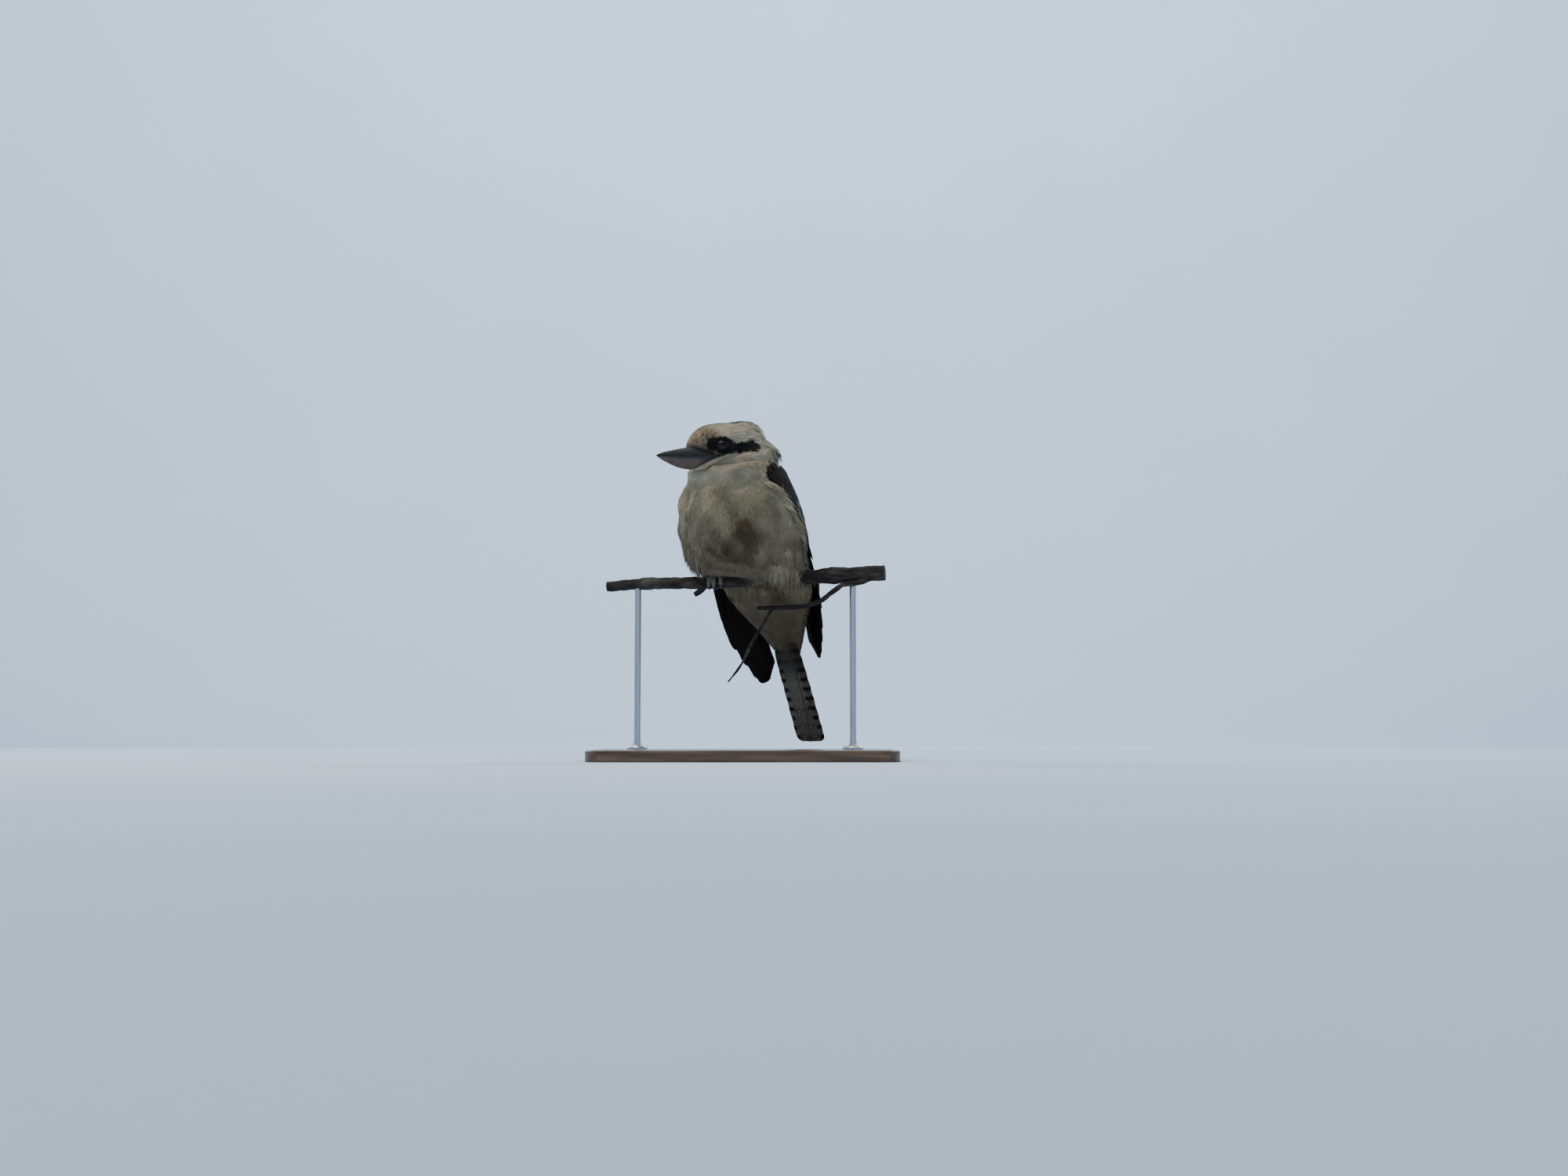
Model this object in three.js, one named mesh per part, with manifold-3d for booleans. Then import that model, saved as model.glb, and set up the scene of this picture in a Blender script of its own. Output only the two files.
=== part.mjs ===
// A laughing kookaburra at life size, sitting fluffed up on a cut length of dead branch.
// Two rods on a flat base hold the branch just high enough for the hanging tail to clear the base.
// Millimetres, +Z up. The origin is the middle of the underside of the base.
// A viewer stands on the -Y side.
import * as THREE from "three";
import { mergeVertices } from "three/addons/utils/BufferGeometryUtils.js";
import Module from "manifold-3d";

const wasm = await Module();
wasm.setup();

// Driving sizes
const gap = 0.3; // between two nodes that touch
const bodyTurn = THREE.MathUtils.degToRad(35); // breast turned from the viewer towards -X
const headTurn = THREE.MathUtils.degToRad(48); // bill turned from the viewer towards -X
const headNod = THREE.MathUtils.degToRad(4.5); // bill tip below level
const perchHeight = 190; // middle of the branch above the floor
const standX = 5; // where the bird's own midline crosses the branch
const headAt = { forward: 45, left: -7, up: 141 };

const colour = {
  cream: new THREE.Color(0.8, 0.75, 0.66),
  crown: new THREE.Color(0.72, 0.66, 0.55),
  brown: new THREE.Color(0.2, 0.14, 0.1),
  barred: new THREE.Color(0.5, 0.36, 0.26),
  billBlack: new THREE.Color(0.06, 0.055, 0.05),
  billHorn: new THREE.Color(0.45, 0.33, 0.26),
  eye: new THREE.Color(0.05, 0.03, 0.02),
  toe: new THREE.Color(0.42, 0.39, 0.33),
  claw: new THREE.Color(0.08, 0.07, 0.06),
  bark: new THREE.Color(0.22, 0.19, 0.16),
  walnut: new THREE.Color(0.26, 0.16, 0.1),
  steel: new THREE.Color(0.55, 0.55, 0.56),
};

// Frames. The bird's own frame has its origin on the branch, with forward, left and up.
function fromBird(forward, left, up) {
  const c = Math.cos(bodyTurn);
  const s = Math.sin(bodyTurn);
  return new THREE.Vector3(standX - forward * s + left * c, -forward * c - left * s, perchHeight + up);
}

// The head's frame has its origin in the middle of the head, with forward along the bill.
const headOrigin = fromBird(headAt.forward, headAt.left, headAt.up);
function fromHead(forward, left, up) {
  const level = forward * Math.cos(headNod) + up * Math.sin(headNod);
  const high = up * Math.cos(headNod) - forward * Math.sin(headNod);
  const c = Math.cos(headTurn);
  const s = Math.sin(headTurn);
  return new THREE.Vector3(-level * s + left * c, -level * c - left * s, high).add(headOrigin);
}

// A smooth run through named stations: returns a function of 0 to 1 that gives each field's value.
function run(stations) {
  const fields = Object.keys(stations[0]);
  const last = stations.length - 1;
  return (t) => {
    const place = THREE.MathUtils.clamp(t, 0, 1) * last;
    const i = Math.min(Math.floor(place), last - 1);
    const part = place - i;
    const value = {};
    for (const field of fields) {
      const [before, from, to, after] = [-1, 0, 1, 2].map(
        (step) => stations[THREE.MathUtils.clamp(i + step, 0, last)][field],
      );
      const bend = 2 * before - 5 * from + 4 * to - after;
      const curve = 3 * (from - to) + after - before;
      value[field] = from + (part * (to - before + part * (bend + part * curve))) / 2;
    }
    return value;
  };
}

// A closed skin over rings of points. The diagonals of the second half of each ring are turned,
// so that a thin plate is split alike on both faces.
function loft(rings) {
  const sides = rings[0].length;
  const points = rings.flat();
  const index = [];
  for (let k = 0; k < rings.length - 1; k += 1) {
    for (let j = 0; j < sides; j += 1) {
      const next = (j + 1) % sides;
      const [a, b, c, d] = [k * sides + j, k * sides + next, (k + 1) * sides + next, (k + 1) * sides + j];
      if (j < sides / 2) index.push(a, b, c, a, c, d);
      else index.push(a, b, d, b, c, d);
    }
  }
  const top = (rings.length - 1) * sides;
  for (let j = 1; j < sides - 1; j += 1) {
    index.push(0, j + 1, j, top, top + j, top + j + 1);
  }
  const geometry = new THREE.BufferGeometry().setFromPoints(points);
  geometry.setIndex(index);
  return solid(geometry);
}

// A manifold-3d solid from a closed geometry, with its faces turned outwards.
function solid(geometry) {
  const bare = new THREE.BufferGeometry();
  bare.setAttribute("position", geometry.getAttribute("position"));
  bare.setIndex(geometry.index);
  const merged = mergeVertices(bare, 1e-4);
  const corners = merged.index.array;
  const kept = [];
  for (let i = 0; i < corners.length; i += 3) {
    const [a, b, c] = corners.slice(i, i + 3);
    if (a !== b && b !== c && c !== a) kept.push([a, b, c]);
  }
  const vertProperties = new Float32Array(merged.attributes.position.array);
  const wind = (order) =>
    new wasm.Manifold(
      new wasm.Mesh({ numProp: 3, vertProperties, triVerts: Uint32Array.from(kept.flatMap(order)) }),
    );
  const made = wind(([a, b, c]) => [a, b, c]);
  return made.volume() > 0 ? made : wind(([a, b, c]) => [a, c, b]);
}

const join = (pieces) => pieces.reduce((whole, piece) => whole.add(piece));
const cut = (whole, ...tools) => tools.reduce((left, tool) => left.subtract(tool), whole);

// The largest closed body of a solid, so that a cut leaves no loose scrap.
function largest(made) {
  return made.decompose().reduce((best, body) => (body.volume() > best.volume() ? body : best));
}

function ball(centre, radius, wide = 12, high = 8) {
  const geometry = new THREE.SphereGeometry(radius, wide, high);
  geometry.translate(centre.x, centre.y, centre.z);
  return solid(geometry);
}

// A round tube of changing radius along a path of points
function limb(path, radii, sides, steps) {
  const curve = new THREE.CatmullRomCurve3(path);
  const size = run(radii.map((radius) => ({ radius })));
  const frames = curve.computeFrenetFrames(steps, false);
  const rings = [];
  for (let k = 0; k <= steps; k += 1) {
    const middle = curve.getPoint(k / steps);
    const { radius } = size(k / steps);
    rings.push(ringAround(middle, frames.normals[k], frames.binormals[k], radius, radius, sides));
  }
  return loft(rings);
}

function ringAround(middle, across, upward, wide, high, sides) {
  const ring = [];
  for (let j = 0; j < sides; j += 1) {
    const angle = (2 * Math.PI * j) / sides;
    ring.push(
      middle
        .clone()
        .addScaledVector(across, wide * Math.cos(angle))
        .addScaledVector(upward, high * Math.sin(angle)),
    );
  }
  return ring;
}

// Sign of a cosine or sine kept while its size is bent, which squares a round section slightly
const squared = (value, power) => Math.sign(value) * Math.abs(value) ** power;

// The trunk, as level slices from the tips of the undertail coverts up into the head
const trunkSlices = [
  { up: -88, front: -76, back: -86, wide: 6 },
  { up: -72, front: -61, back: -86, wide: 16 },
  { up: -52, front: -43, back: -84, wide: 28 },
  { up: -32, front: -24, back: -80, wide: 42 },
  { up: -14, front: -8, back: -76, wide: 54 },
  { up: -4, front: -4, back: -73, wide: 58 },
  { up: 6, front: 10, back: -71, wide: 61 },
  { up: 12, front: 50, back: -69, wide: 62 },
  { up: 25, front: 71, back: -65, wide: 65.5 },
  { up: 42, front: 78, back: -61, wide: 67.5 },
  { up: 62, front: 80, back: -54, wide: 68 },
  { up: 84, front: 78, back: -44, wide: 63.5 },
  { up: 104, front: 71, back: -34, wide: 55 },
  { up: 120, front: 63, back: -24, wide: 49 },
  { up: 134, front: 56, back: -14, wide: 44 },
  { up: 147, front: 49, back: -2, wide: 35 },
  { up: 157, front: 40, back: 10, wide: 20 },
];
const trunkSlice = run(trunkSlices);
const trunkSides = 22;
const trunkRings = 25;
const trunkPower = 0.92;
const backPinch = 0.17; // how much narrower the back is than the breast

// Half the width at an angle round the slice, where 0 is straight ahead
const halfWidth = (slice, ahead) => slice.wide * (1 - (backPinch * (1 - ahead)) / 2);

function trunkPoint(t, angle, grow = 0) {
  const slice = trunkSlice(t);
  const depth = (slice.front - slice.back) / 2 + grow;
  const ahead = Math.cos(angle);
  const forward = (slice.front + slice.back) / 2 + depth * squared(ahead, trunkPower);
  const left = (halfWidth(slice, ahead) + grow) * squared(Math.sin(angle), trunkPower);
  const overshoot = t === 0 ? -grow : t === 1 ? grow : 0;
  return fromBird(forward, left, slice.up + overshoot);
}

// The trunk's slice at a height
function sliceAt(up) {
  let low = 0;
  let high = 1;
  for (let i = 0; i < 20; i += 1) {
    const middle = (low + high) / 2;
    if (trunkSlice(middle).up < up) low = middle;
    else high = middle;
  }
  return trunkSlice(low);
}

// Moves a place straight out of the trunk, until it is clear of it by a distance.
function outsideTrunk(place, clear) {
  const slice = sliceAt(place.up);
  const middle = (slice.front + slice.back) / 2;
  const depth = (slice.front - slice.back) / 2 + clear;
  const ahead = THREE.MathUtils.clamp((place.forward - middle) / depth, -1, 1);
  const breadth = halfWidth(slice, ahead) + clear;
  const reach = Math.hypot((place.forward - middle) / depth, place.left / breadth);
  const push = Math.max(1, 1 / reach);
  return { forward: middle + (place.forward - middle) * push, left: place.left * push, up: place.up };
}

function trunk(grow) {
  const rings = [];
  for (let k = 0; k <= trunkRings; k += 1) {
    const ring = [];
    for (let j = 0; j < trunkSides; j += 1) {
      ring.push(trunkPoint(k / trunkRings, (2 * Math.PI * j) / trunkSides, grow));
    }
    rings.push(ring);
  }
  return loft(rings);
}

// The head, as upright sections from the nape to the face
const headSections = [
  { forward: -49, top: 6, bottom: -14, wide: 9 },
  { forward: -45, top: 15, bottom: -24, wide: 22 },
  { forward: -36, top: 21.5, bottom: -30, wide: 31.5 },
  { forward: -20, top: 24.5, bottom: -33, wide: 37.5 },
  { forward: -4, top: 25, bottom: -33, wide: 36.5 },
  { forward: 9, top: 24.5, bottom: -30, wide: 31 },
  { forward: 20, top: 21.5, bottom: -27, wide: 24.5 },
  { forward: 29, top: 16.5, bottom: -25.5, wide: 18.5 },
  { forward: 37, top: 8.5, bottom: -24.5, wide: 13 },
  { forward: 42, top: -1, bottom: -23, wide: 7 },
];
const headSection = run(headSections);
const headSides = 20;
const headRings = 17;
const headPower = 0.9;
const brow = { forward: 12, up: 8, reach: 13, swell: 2 };

function browSwell(forward, up) {
  const away = Math.hypot(forward - brow.forward, 1.6 * (up - brow.up));
  return brow.swell * Math.exp(-((away / brow.reach) ** 2));
}

function headPoint(t, angle, grow = 0) {
  const section = headSection(t);
  const tall = (section.top - section.bottom) / 2 + grow;
  const middle = (section.top + section.bottom) / 2;
  const up = middle + tall * squared(Math.sin(angle), headPower);
  const wide = section.wide + grow + browSwell(section.forward, up);
  const overshoot = t === 0 ? -grow : t === 1 ? grow : 0;
  return fromHead(section.forward + overshoot, wide * squared(Math.cos(angle), headPower), up);
}

// How far the side of the head stands from its middle plane
function headSide(forward, up) {
  let low = 0;
  let high = 1;
  for (let i = 0; i < 20; i += 1) {
    const middle = (low + high) / 2;
    if (headSection(middle).forward < forward) low = middle;
    else high = middle;
  }
  const section = headSection(low);
  const rise = (up - (section.top + section.bottom) / 2) / ((section.top - section.bottom) / 2);
  const sine = Math.min(1, Math.abs(rise)) ** (1 / headPower);
  return (section.wide + browSwell(forward, up)) * Math.sqrt(1 - sine * sine) ** headPower;
}

function skull(grow) {
  const rings = [];
  for (let k = 0; k <= headRings; k += 1) {
    const ring = [];
    for (let j = 0; j < headSides; j += 1) {
      ring.push(headPoint(k / headRings, (2 * Math.PI * j) / headSides, grow));
    }
    rings.push(ring);
  }
  return loft(rings);
}

// The bill. Its length is measured back from the tip along the line of the mouth.
const mouthUp = -12; // the line of the mouth in the head's frame
const billTip = 85; // forward of the middle of the head
const upperStations = [
  { back: 0, high: 0.5, wide: 0.5 },
  { back: 4, high: 2.4, wide: 1.9 },
  { back: 12, high: 4.8, wide: 3.9 },
  { back: 26, high: 7.8, wide: 6.6 },
  { back: 42, high: 10.4, wide: 9.6 },
  { back: 56, high: 12, wide: 13.4 },
  { back: 68, high: 11, wide: 18 },
  { back: 75, high: 6, wide: 21.5 },
];
const lowerStations = [
  { back: 1.5, high: 0.5, wide: 0.5 },
  { back: 5, high: 2.4, wide: 1.7 },
  { back: 12, high: 5.4, wide: 3.5 },
  { back: 26, high: 10, wide: 6.2 },
  { back: 42, high: 12.6, wide: 9.2 },
  { back: 56, high: 12.6, wide: 13 },
  { back: 68, high: 11, wide: 17.6 },
  { back: 75, high: 6, wide: 21 },
];
const billSteps = 14;
const billSides = 9; // over the curved side of one half

// side is 1 for the upper half and -1 for the lower half, with a flat face along the mouth.
function halfBill(stations, side, grow) {
  const station = run(stations);
  const rings = [];
  for (let k = 0; k <= billSteps; k += 1) {
    const { back, high, wide } = station(k / billSteps);
    const sag = 1.2 * Math.sin((Math.PI * back) / 80);
    const ring = [];
    for (let j = 0; j < billSides; j += 1) {
      const angle = (Math.PI * j) / (billSides - 1);
      const left = (wide + grow) * squared(Math.cos(angle), 0.85);
      const rise = (high + grow) * Math.sin(angle) ** 1.15;
      const offMouth = gap / 2 - grow / 2 + rise;
      ring.push(fromHead(billTip - back, left, mouthUp - sag + side * offMouth));
    }
    rings.push(ring);
  }
  return loft(rings);
}

// The bare horn of the bill runs back to the corner of the gape under the eye, as a wedge between
// the feathers of the face and those of the chin.
const gape = { at: 15, front: 46, rise: 11, fall: 12 };
function gapeWedge() {
  const ring = (left) => [
    fromHead(gape.at, left, mouthUp),
    fromHead(gape.front, left, mouthUp + gape.rise),
    fromHead(gape.front, left, mouthUp - gape.fall),
  ];
  return loft([ring(-45), ring(45)]);
}

// The eyes, each a dark ball in a socket with a ring of lid round it
const eyeAt = { forward: 16, up: -3, inset: 3.6, radius: 6.6 };
const lid = { ring: 5.9, thick: 1.2, proud: 3.8 };
const eyeMiddle = (side) => {
  const left = headSide(eyeAt.forward, eyeAt.up) - eyeAt.inset;
  return fromHead(eyeAt.forward, side * left, eyeAt.up);
};

function lidRing(side) {
  const middle = eyeMiddle(side);
  const outward = fromHead(eyeAt.forward + 8, side * 40, eyeAt.up + 1).sub(middle).normalize();
  const rim = new THREE.TorusGeometry(lid.ring, lid.thick, 5, 14);
  rim.applyQuaternion(new THREE.Quaternion().setFromUnitVectors(new THREE.Vector3(0, 0, 1), outward));
  const seat = middle.addScaledVector(outward, lid.proud);
  rim.translate(seat.x, seat.y, seat.z);
  return solid(rim);
}

const nostrilAt = { forward: 40, out: 8.6, up: -5.4, long: 4.2, deep: 1.6, high: 1 };
function nostril(side) {
  const geometry = new THREE.SphereGeometry(1, 8, 6);
  geometry.scale(nostrilAt.long, nostrilAt.deep, nostrilAt.high);
  const middle = fromHead(nostrilAt.forward, side * nostrilAt.out, nostrilAt.up);
  geometry.rotateZ(-Math.PI / 2 - headTurn);
  geometry.translate(middle.x, middle.y, middle.z);
  return solid(geometry);
}

// A vane: a thin, tapered, round-ended plate that lies on a surface.
// surface(u, v, lift) gives a point; root and tip are [u, v]; the vane starts sunk and ends lifted.
const vaneOutline = [
  { at: 0, wide: 0.64 },
  { at: 0.42, wide: 1 },
  { at: 0.88, wide: 0.82 },
  { at: 1, wide: 0.3 },
];
function vane(surface, root, tip, { wide, thick = 0.7, sunk = 1.4, lift = 1, tilt = 0.08, blunt = 1 }) {
  const spot = (s) => [root[0] + (tip[0] - root[0]) * s, root[1] + (tip[1] - root[1]) * s];
  const small = 0.01;
  const rings = vaneOutline.map(({ at, wide: share }) => {
    const [u, v] = spot(at);
    const height = -sunk + (lift + sunk) * Math.min(1, at * 1.6);
    const middle = surface(u, v, height);
    const [u1, v1] = spot(at + small);
    const [u0, v0] = spot(at - small);
    const along = surface(u1, v1, 0).sub(surface(u0, v0, 0)).normalize();
    const out = surface(u, v, 1).sub(surface(u, v, 0)).normalize();
    const across = new THREE.Vector3().crossVectors(out, along).normalize();
    const half = (wide / 2) * (at > 0.8 ? Math.min(1, share * blunt) : share);
    const corner = (side, face) =>
      middle
        .clone()
        .addScaledVector(across, side * half)
        .addScaledVector(out, (face * thick) / 2 + side * tilt * half);
    return [corner(-1, 1), corner(1, 1), corner(1, -1), corner(-1, -1)];
  });
  return loft(rings);
}

// A thin plate that follows a surface from u = from to u = to. It has a rounded start and thins
// towards its end.
function plate(surface, { from, to, over, under, rounding, low, high, steps, across }) {
  const rings = [];
  for (let k = 0; k <= steps; k += 1) {
    const share = k / steps;
    const u = from + (to - from) * share;
    const thin = 1 - 0.75 * share;
    const drawn = Math.sqrt(1 - (1 - Math.min(1, (u + 0.01) / rounding)) ** 2);
    const middle = (low + high) / 2;
    const top = [];
    const bottom = [];
    for (let j = 0; j <= across; j += 1) {
      const v = middle + ((high - low) * drawn * (j - across / 2)) / across;
      top.push(surface(u, v, over * thin));
      bottom.unshift(surface(u, v, -under * thin - 0.3));
    }
    rings.push([...top, ...bottom]);
  }
  return loft(rings);
}

// The folded wing runs from the bend of the wing beside the breast to the tips of the primaries.
const wingLower = run([
  { forward: 44, left: 42, up: 112 },
  { forward: 25, left: 54, up: 93 },
  { forward: -1, left: 62, up: 64 },
  { forward: -26, left: 60, up: 30 },
  { forward: -45, left: 56, up: -4 },
  { forward: -60, left: 51, up: -34 },
  { forward: -72, left: 46, up: -61 },
  { forward: -80, left: 41, up: -83 },
]);
const wingUpper = run([
  { forward: 14, left: 27, up: 130 },
  { forward: -20, left: 22, up: 113 },
  { forward: -43, left: 16, up: 86 },
  { forward: -57, left: 13, up: 52 },
  { forward: -68, left: 15, up: 16 },
  { forward: -77, left: 18, up: -18 },
  { forward: -85, left: 22, up: -48 },
  { forward: -90, left: 27, up: -74 },
]);
const wingBulge = run([1, 1.5, 1.5, 2, 3, 4, 2, 0.5].map((bulge) => ({ bulge })));
const wingClear = 2; // from the trunk to the middle of the wing's thickness
const wingHang = {
  left: { side: 1, drop: 2, spread: 0, forward: 0 },
  right: { side: -1, drop: 27, spread: 17, forward: 8 },
};

function wingSurface({ side, drop, spread, forward }) {
  const flat = (u, v) => {
    const low = THREE.MathUtils.smoothstep(u, 0.25, 1);
    const out = Math.sin(Math.PI * THREE.MathUtils.clamp((u - 0.25) / 0.75, 0, 1));
    const [lower, upper] = [wingLower(u), wingUpper(u)];
    const blend = (field) => lower[field] + (upper[field] - lower[field]) * v;
    const loose = out * (1 - 0.15 * v);
    const place = outsideTrunk(
      {
        forward: blend("forward") + forward * loose,
        left: blend("left") + spread * loose,
        up: blend("up") - drop * low,
      },
      wingClear,
    );
    return fromBird(place.forward, side * place.left, place.up);
  };
  return (u, v, lift = 0) => {
    const step = 0.02;
    const along = flat(Math.min(u + step, 1), v).sub(flat(Math.max(u - step, 0), v));
    const across = flat(u, Math.min(v + 0.1, 1)).sub(flat(u, Math.max(v - 0.1, 0)));
    const out = new THREE.Vector3().crossVectors(along, across).normalize().multiplyScalar(side);
    const { bulge } = wingBulge(u);
    return flat(u, v).addScaledVector(out, lift + bulge * 4 * v * (1 - v));
  };
}

// Each tier of wing feathers: where they start and end along the wing, how many lie across it,
// and how wide they are
const wingTiers = {
  lesserCoverts: { root: 0.04, tip: 0.2, low: 0.16, high: 0.84, count: 4, wide: 14, lift: 2.4 },
  middleCoverts: { root: 0.13, tip: 0.32, low: 0.12, high: 0.9, count: 4, wide: 16, lift: 2.6 },
  greaterCoverts: { root: 0.25, tip: 0.48, low: 0.1, high: 0.9, count: 5, wide: 14.5, lift: 2.4 },
  secondaries: { root: 0.38, tip: 0.7, low: 0.12, high: 0.94, count: 5, wide: 14.5, lift: 2 },
};
const primaries = { count: 5, root: 0.5, firstTip: 0.79, lastTip: 1, wide: 13 };
const wingCore = {
  from: 0.01,
  to: 0.66,
  over: 0.3,
  under: 5,
  rounding: 0.1,
  low: 0.02,
  high: 0.98,
  steps: 9,
  across: 4,
};

function wing(hang) {
  const surface = wingSurface(hang);
  const core = plate(surface, wingCore);
  const pieces = [core];
  for (const tier of Object.values(wingTiers)) {
    for (let i = 0; i < tier.count; i += 1) {
      const v = tier.low + ((tier.high - tier.low) * i) / (tier.count - 1);
      const root = [tier.root + 0.012 * Math.sin(3 * i), v];
      const tip = [tier.tip + 0.012 * Math.sin(5 * i + tier.count), 0.5 + (v - 0.5) * 0.97];
      pieces.push(vane(surface, root, tip, { wide: tier.wide, lift: tier.lift, tilt: 0.11 }));
    }
  }
  for (let i = 0; i < primaries.count; i += 1) {
    const share = i / (primaries.count - 1);
    const root = [primaries.root, 0.12 + 0.6 * share];
    const tipAt = i === 0 ? primaries.firstTip : primaries.lastTip - 0.13 * Math.abs(share - 0.45);
    const tip = [tipAt, 0.1 + 0.8 * share];
    const level = -1.05 * i - 0.3;
    const shape = { wide: primaries.wide, thick: 0.65, sunk: -level, lift: level, tilt: 0 };
    pieces.push(vane(surface, root, tip, shape));
  }
  return join(pieces);
}

// The tail: twelve feathers, the middle pair on top and longest, each outer pair beneath and shorter
const tail = {
  root: { forward: -49, left: 2, up: -34 },
  tip: { forward: -107.5, left: 9, up: -170 },
  pairs: 6,
  wide: 19.5,
  layer: 0.98,
  core: { from: 0.03, to: 0.38, over: 1.35, under: 5.3, reach: 0.9 },
};
const tailSteps = [0, 2, 6, 12, 21, 38]; // how far each pair ends short of the middle pair
const tailLength = Math.hypot(tail.tip.forward - tail.root.forward, tail.tip.up - tail.root.up);

// u runs down the tail, v is in half widths to the left, and lift is towards the back of the bird.
function tailSurface(u, v, lift = 0) {
  const slope = Math.atan2(tail.root.up - tail.tip.up, tail.root.forward - tail.tip.forward);
  const droop = 4 * v * v * THREE.MathUtils.smoothstep(u, 0.5, 0.9);
  const forward = tail.root.forward + (tail.tip.forward - tail.root.forward) * u + droop * Math.sin(slope);
  const left = tail.root.left + (tail.tip.left - tail.root.left) * u + v * tail.wide;
  const up = tail.root.up + (tail.tip.up - tail.root.up) * u - droop * Math.cos(slope);
  return fromBird(forward - lift * Math.sin(slope), left, up + lift * Math.cos(slope));
}

// The block at the root that holds the feathers, and grown and lengthened, the room for it in the rump
function tailCore(grow, to) {
  const { from, over, under, reach } = tail.core;
  const side = reach + grow / tail.wide;
  const start = from - grow / tailLength;
  const ring = (u) => [
    tailSurface(u, side, over + grow),
    tailSurface(u, -side, over + grow),
    tailSurface(u, -side, -under - grow),
    tailSurface(u, side, -under - grow),
  ];
  return loft([ring(start), ring(to)]);
}

function tailFeathers() {
  const pieces = [tailCore(0, tail.core.to)];
  for (let i = 0; i < tail.pairs; i += 1) {
    for (const side of [1, -1]) {
      const level = 1 - tail.layer * (i === 0 && side > 0 ? 0 : i + 1);
      const end = 1 - tailSteps[i] / tailLength;
      const away = i === 0 ? 0.2 : 0.4 + 0.02 * i;
      const shape = { wide: 17.5, thick: 0.6, sunk: -level, lift: level, tilt: 0, blunt: 1.7 };
      pieces.push(vane(tailSurface, [0.06, side * away * 0.8], [end, side * away], shape));
    }
  }
  return join(pieces);
}

// The branch: a dead limb, slightly bowed and knobbly, cut at both ends
const branch = {
  half: 150, // half its length
  turn: THREE.MathUtils.degToRad(10), // right end nearer the viewer
  rise: 0.03, // mm of height for each mm to the right
  leftRadius: 5.5,
  rightRadius: 8.2,
  sides: 11,
  steps: 22,
};

function branchMiddle(x) {
  const bow = 1.5 * THREE.MathUtils.smoothstep(x, 50, 110);
  return new THREE.Vector3(
    x * Math.cos(branch.turn),
    -x * Math.sin(branch.turn) + 1.2 * Math.sin(x / 37),
    perchHeight + 1 + branch.rise * x + bow + 0.6 * Math.sin(x / 23),
  );
}

function branchRadius(x) {
  const share = (x + branch.half) / (2 * branch.half);
  const knot = 1.5 * Math.exp(-(((x - 96) / 9) ** 2)) + 1.1 * Math.exp(-(((x + 104) / 8) ** 2));
  return branch.leftRadius + (branch.rightRadius - branch.leftRadius) * share + knot;
}

function branchLimb(grow) {
  const rings = [];
  const along = new THREE.Vector3(Math.cos(branch.turn), -Math.sin(branch.turn), branch.rise).normalize();
  const across = new THREE.Vector3(0, 0, 1).cross(along).normalize();
  const upward = new THREE.Vector3().crossVectors(along, across);
  for (let k = 0; k <= branch.steps; k += 1) {
    const x = -branch.half + (2 * branch.half * k) / branch.steps;
    const end = k === 0 ? -grow : k === branch.steps ? grow : 0;
    const ring = [];
    for (let j = 0; j < branch.sides; j += 1) {
      const angle = (2 * Math.PI * j) / branch.sides;
      const ridge = 0.35 * Math.sin(3 * angle + x / 31) + 0.2 * Math.sin(5 * angle - x / 17);
      const radius = branchRadius(x) + ridge + grow;
      ring.push(
        branchMiddle(x)
          .addScaledVector(along, end)
          .addScaledVector(across, radius * Math.cos(angle))
          .addScaledVector(upward, radius * Math.sin(angle)),
      );
    }
    rings.push(ring);
  }
  return loft(rings);
}

// A point beside the branch: x along it, with offsets towards the viewer and upwards
const besideBranch = (x, nearer, higher) => branchMiddle(x).add(new THREE.Vector3(0, -nearer, higher));

const stub = limb(
  [besideBranch(-43, 2, -3), besideBranch(-48, 3, -9), besideBranch(-54, 4, -13)],
  [4.2, 3.4, 2.7],
  7,
  3,
);
const twig = limb(
  [
    besideBranch(134, 3, -4),
    besideBranch(122, 7, -9),
    besideBranch(106, 9, -10.5),
    besideBranch(95, 10, -17),
    besideBranch(80, 11, -27),
    besideBranch(62, 12, -31),
    besideBranch(40, 13, -32),
    besideBranch(14, 13, -31),
  ],
  [4.2, 2.9, 2.6, 2.7, 2.6, 2.4, 2.5, 2.1],
  7,
  18,
);
const twiglet = limb(
  [
    besideBranch(31, 13, -31),
    besideBranch(22, 15, -46),
    besideBranch(8, 15, -68),
    besideBranch(-2, 14, -88),
    besideBranch(-17, 14, -107),
  ],
  [1.9, 1.6, 1.7, 1.3, 1.1],
  6,
  10,
);

// Feet: three toes forward round the branch, the outer two joined at the root, and one behind
const feet = {
  left: { side: 1, along: 33 },
  right: { side: -1, along: -31 },
};
const toe = { radius: 2.4, clear: 0.9 };
const toes = [
  { name: "inner", shift: -5.6, spread: -2, from: 96, to: -22 },
  { name: "middle", shift: 0.4, spread: 0, from: 96, to: -36 },
  { name: "outer", shift: 4.8, spread: 1, from: 96, to: -30 },
  { name: "hind", shift: -1.2, spread: 0, from: 84, to: 196 },
];

// A point off the branch at x along it, at an angle from the viewer's side over the top
function roundBranch(x, degrees, off) {
  const angle = THREE.MathUtils.degToRad(degrees);
  const distance = branchRadius(x) + off;
  const nearer = distance * Math.cos(angle);
  const higher = distance * Math.sin(angle);
  return branchMiddle(x).add(
    new THREE.Vector3(-nearer * Math.sin(branch.turn), -nearer * Math.cos(branch.turn), higher),
  );
}

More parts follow.
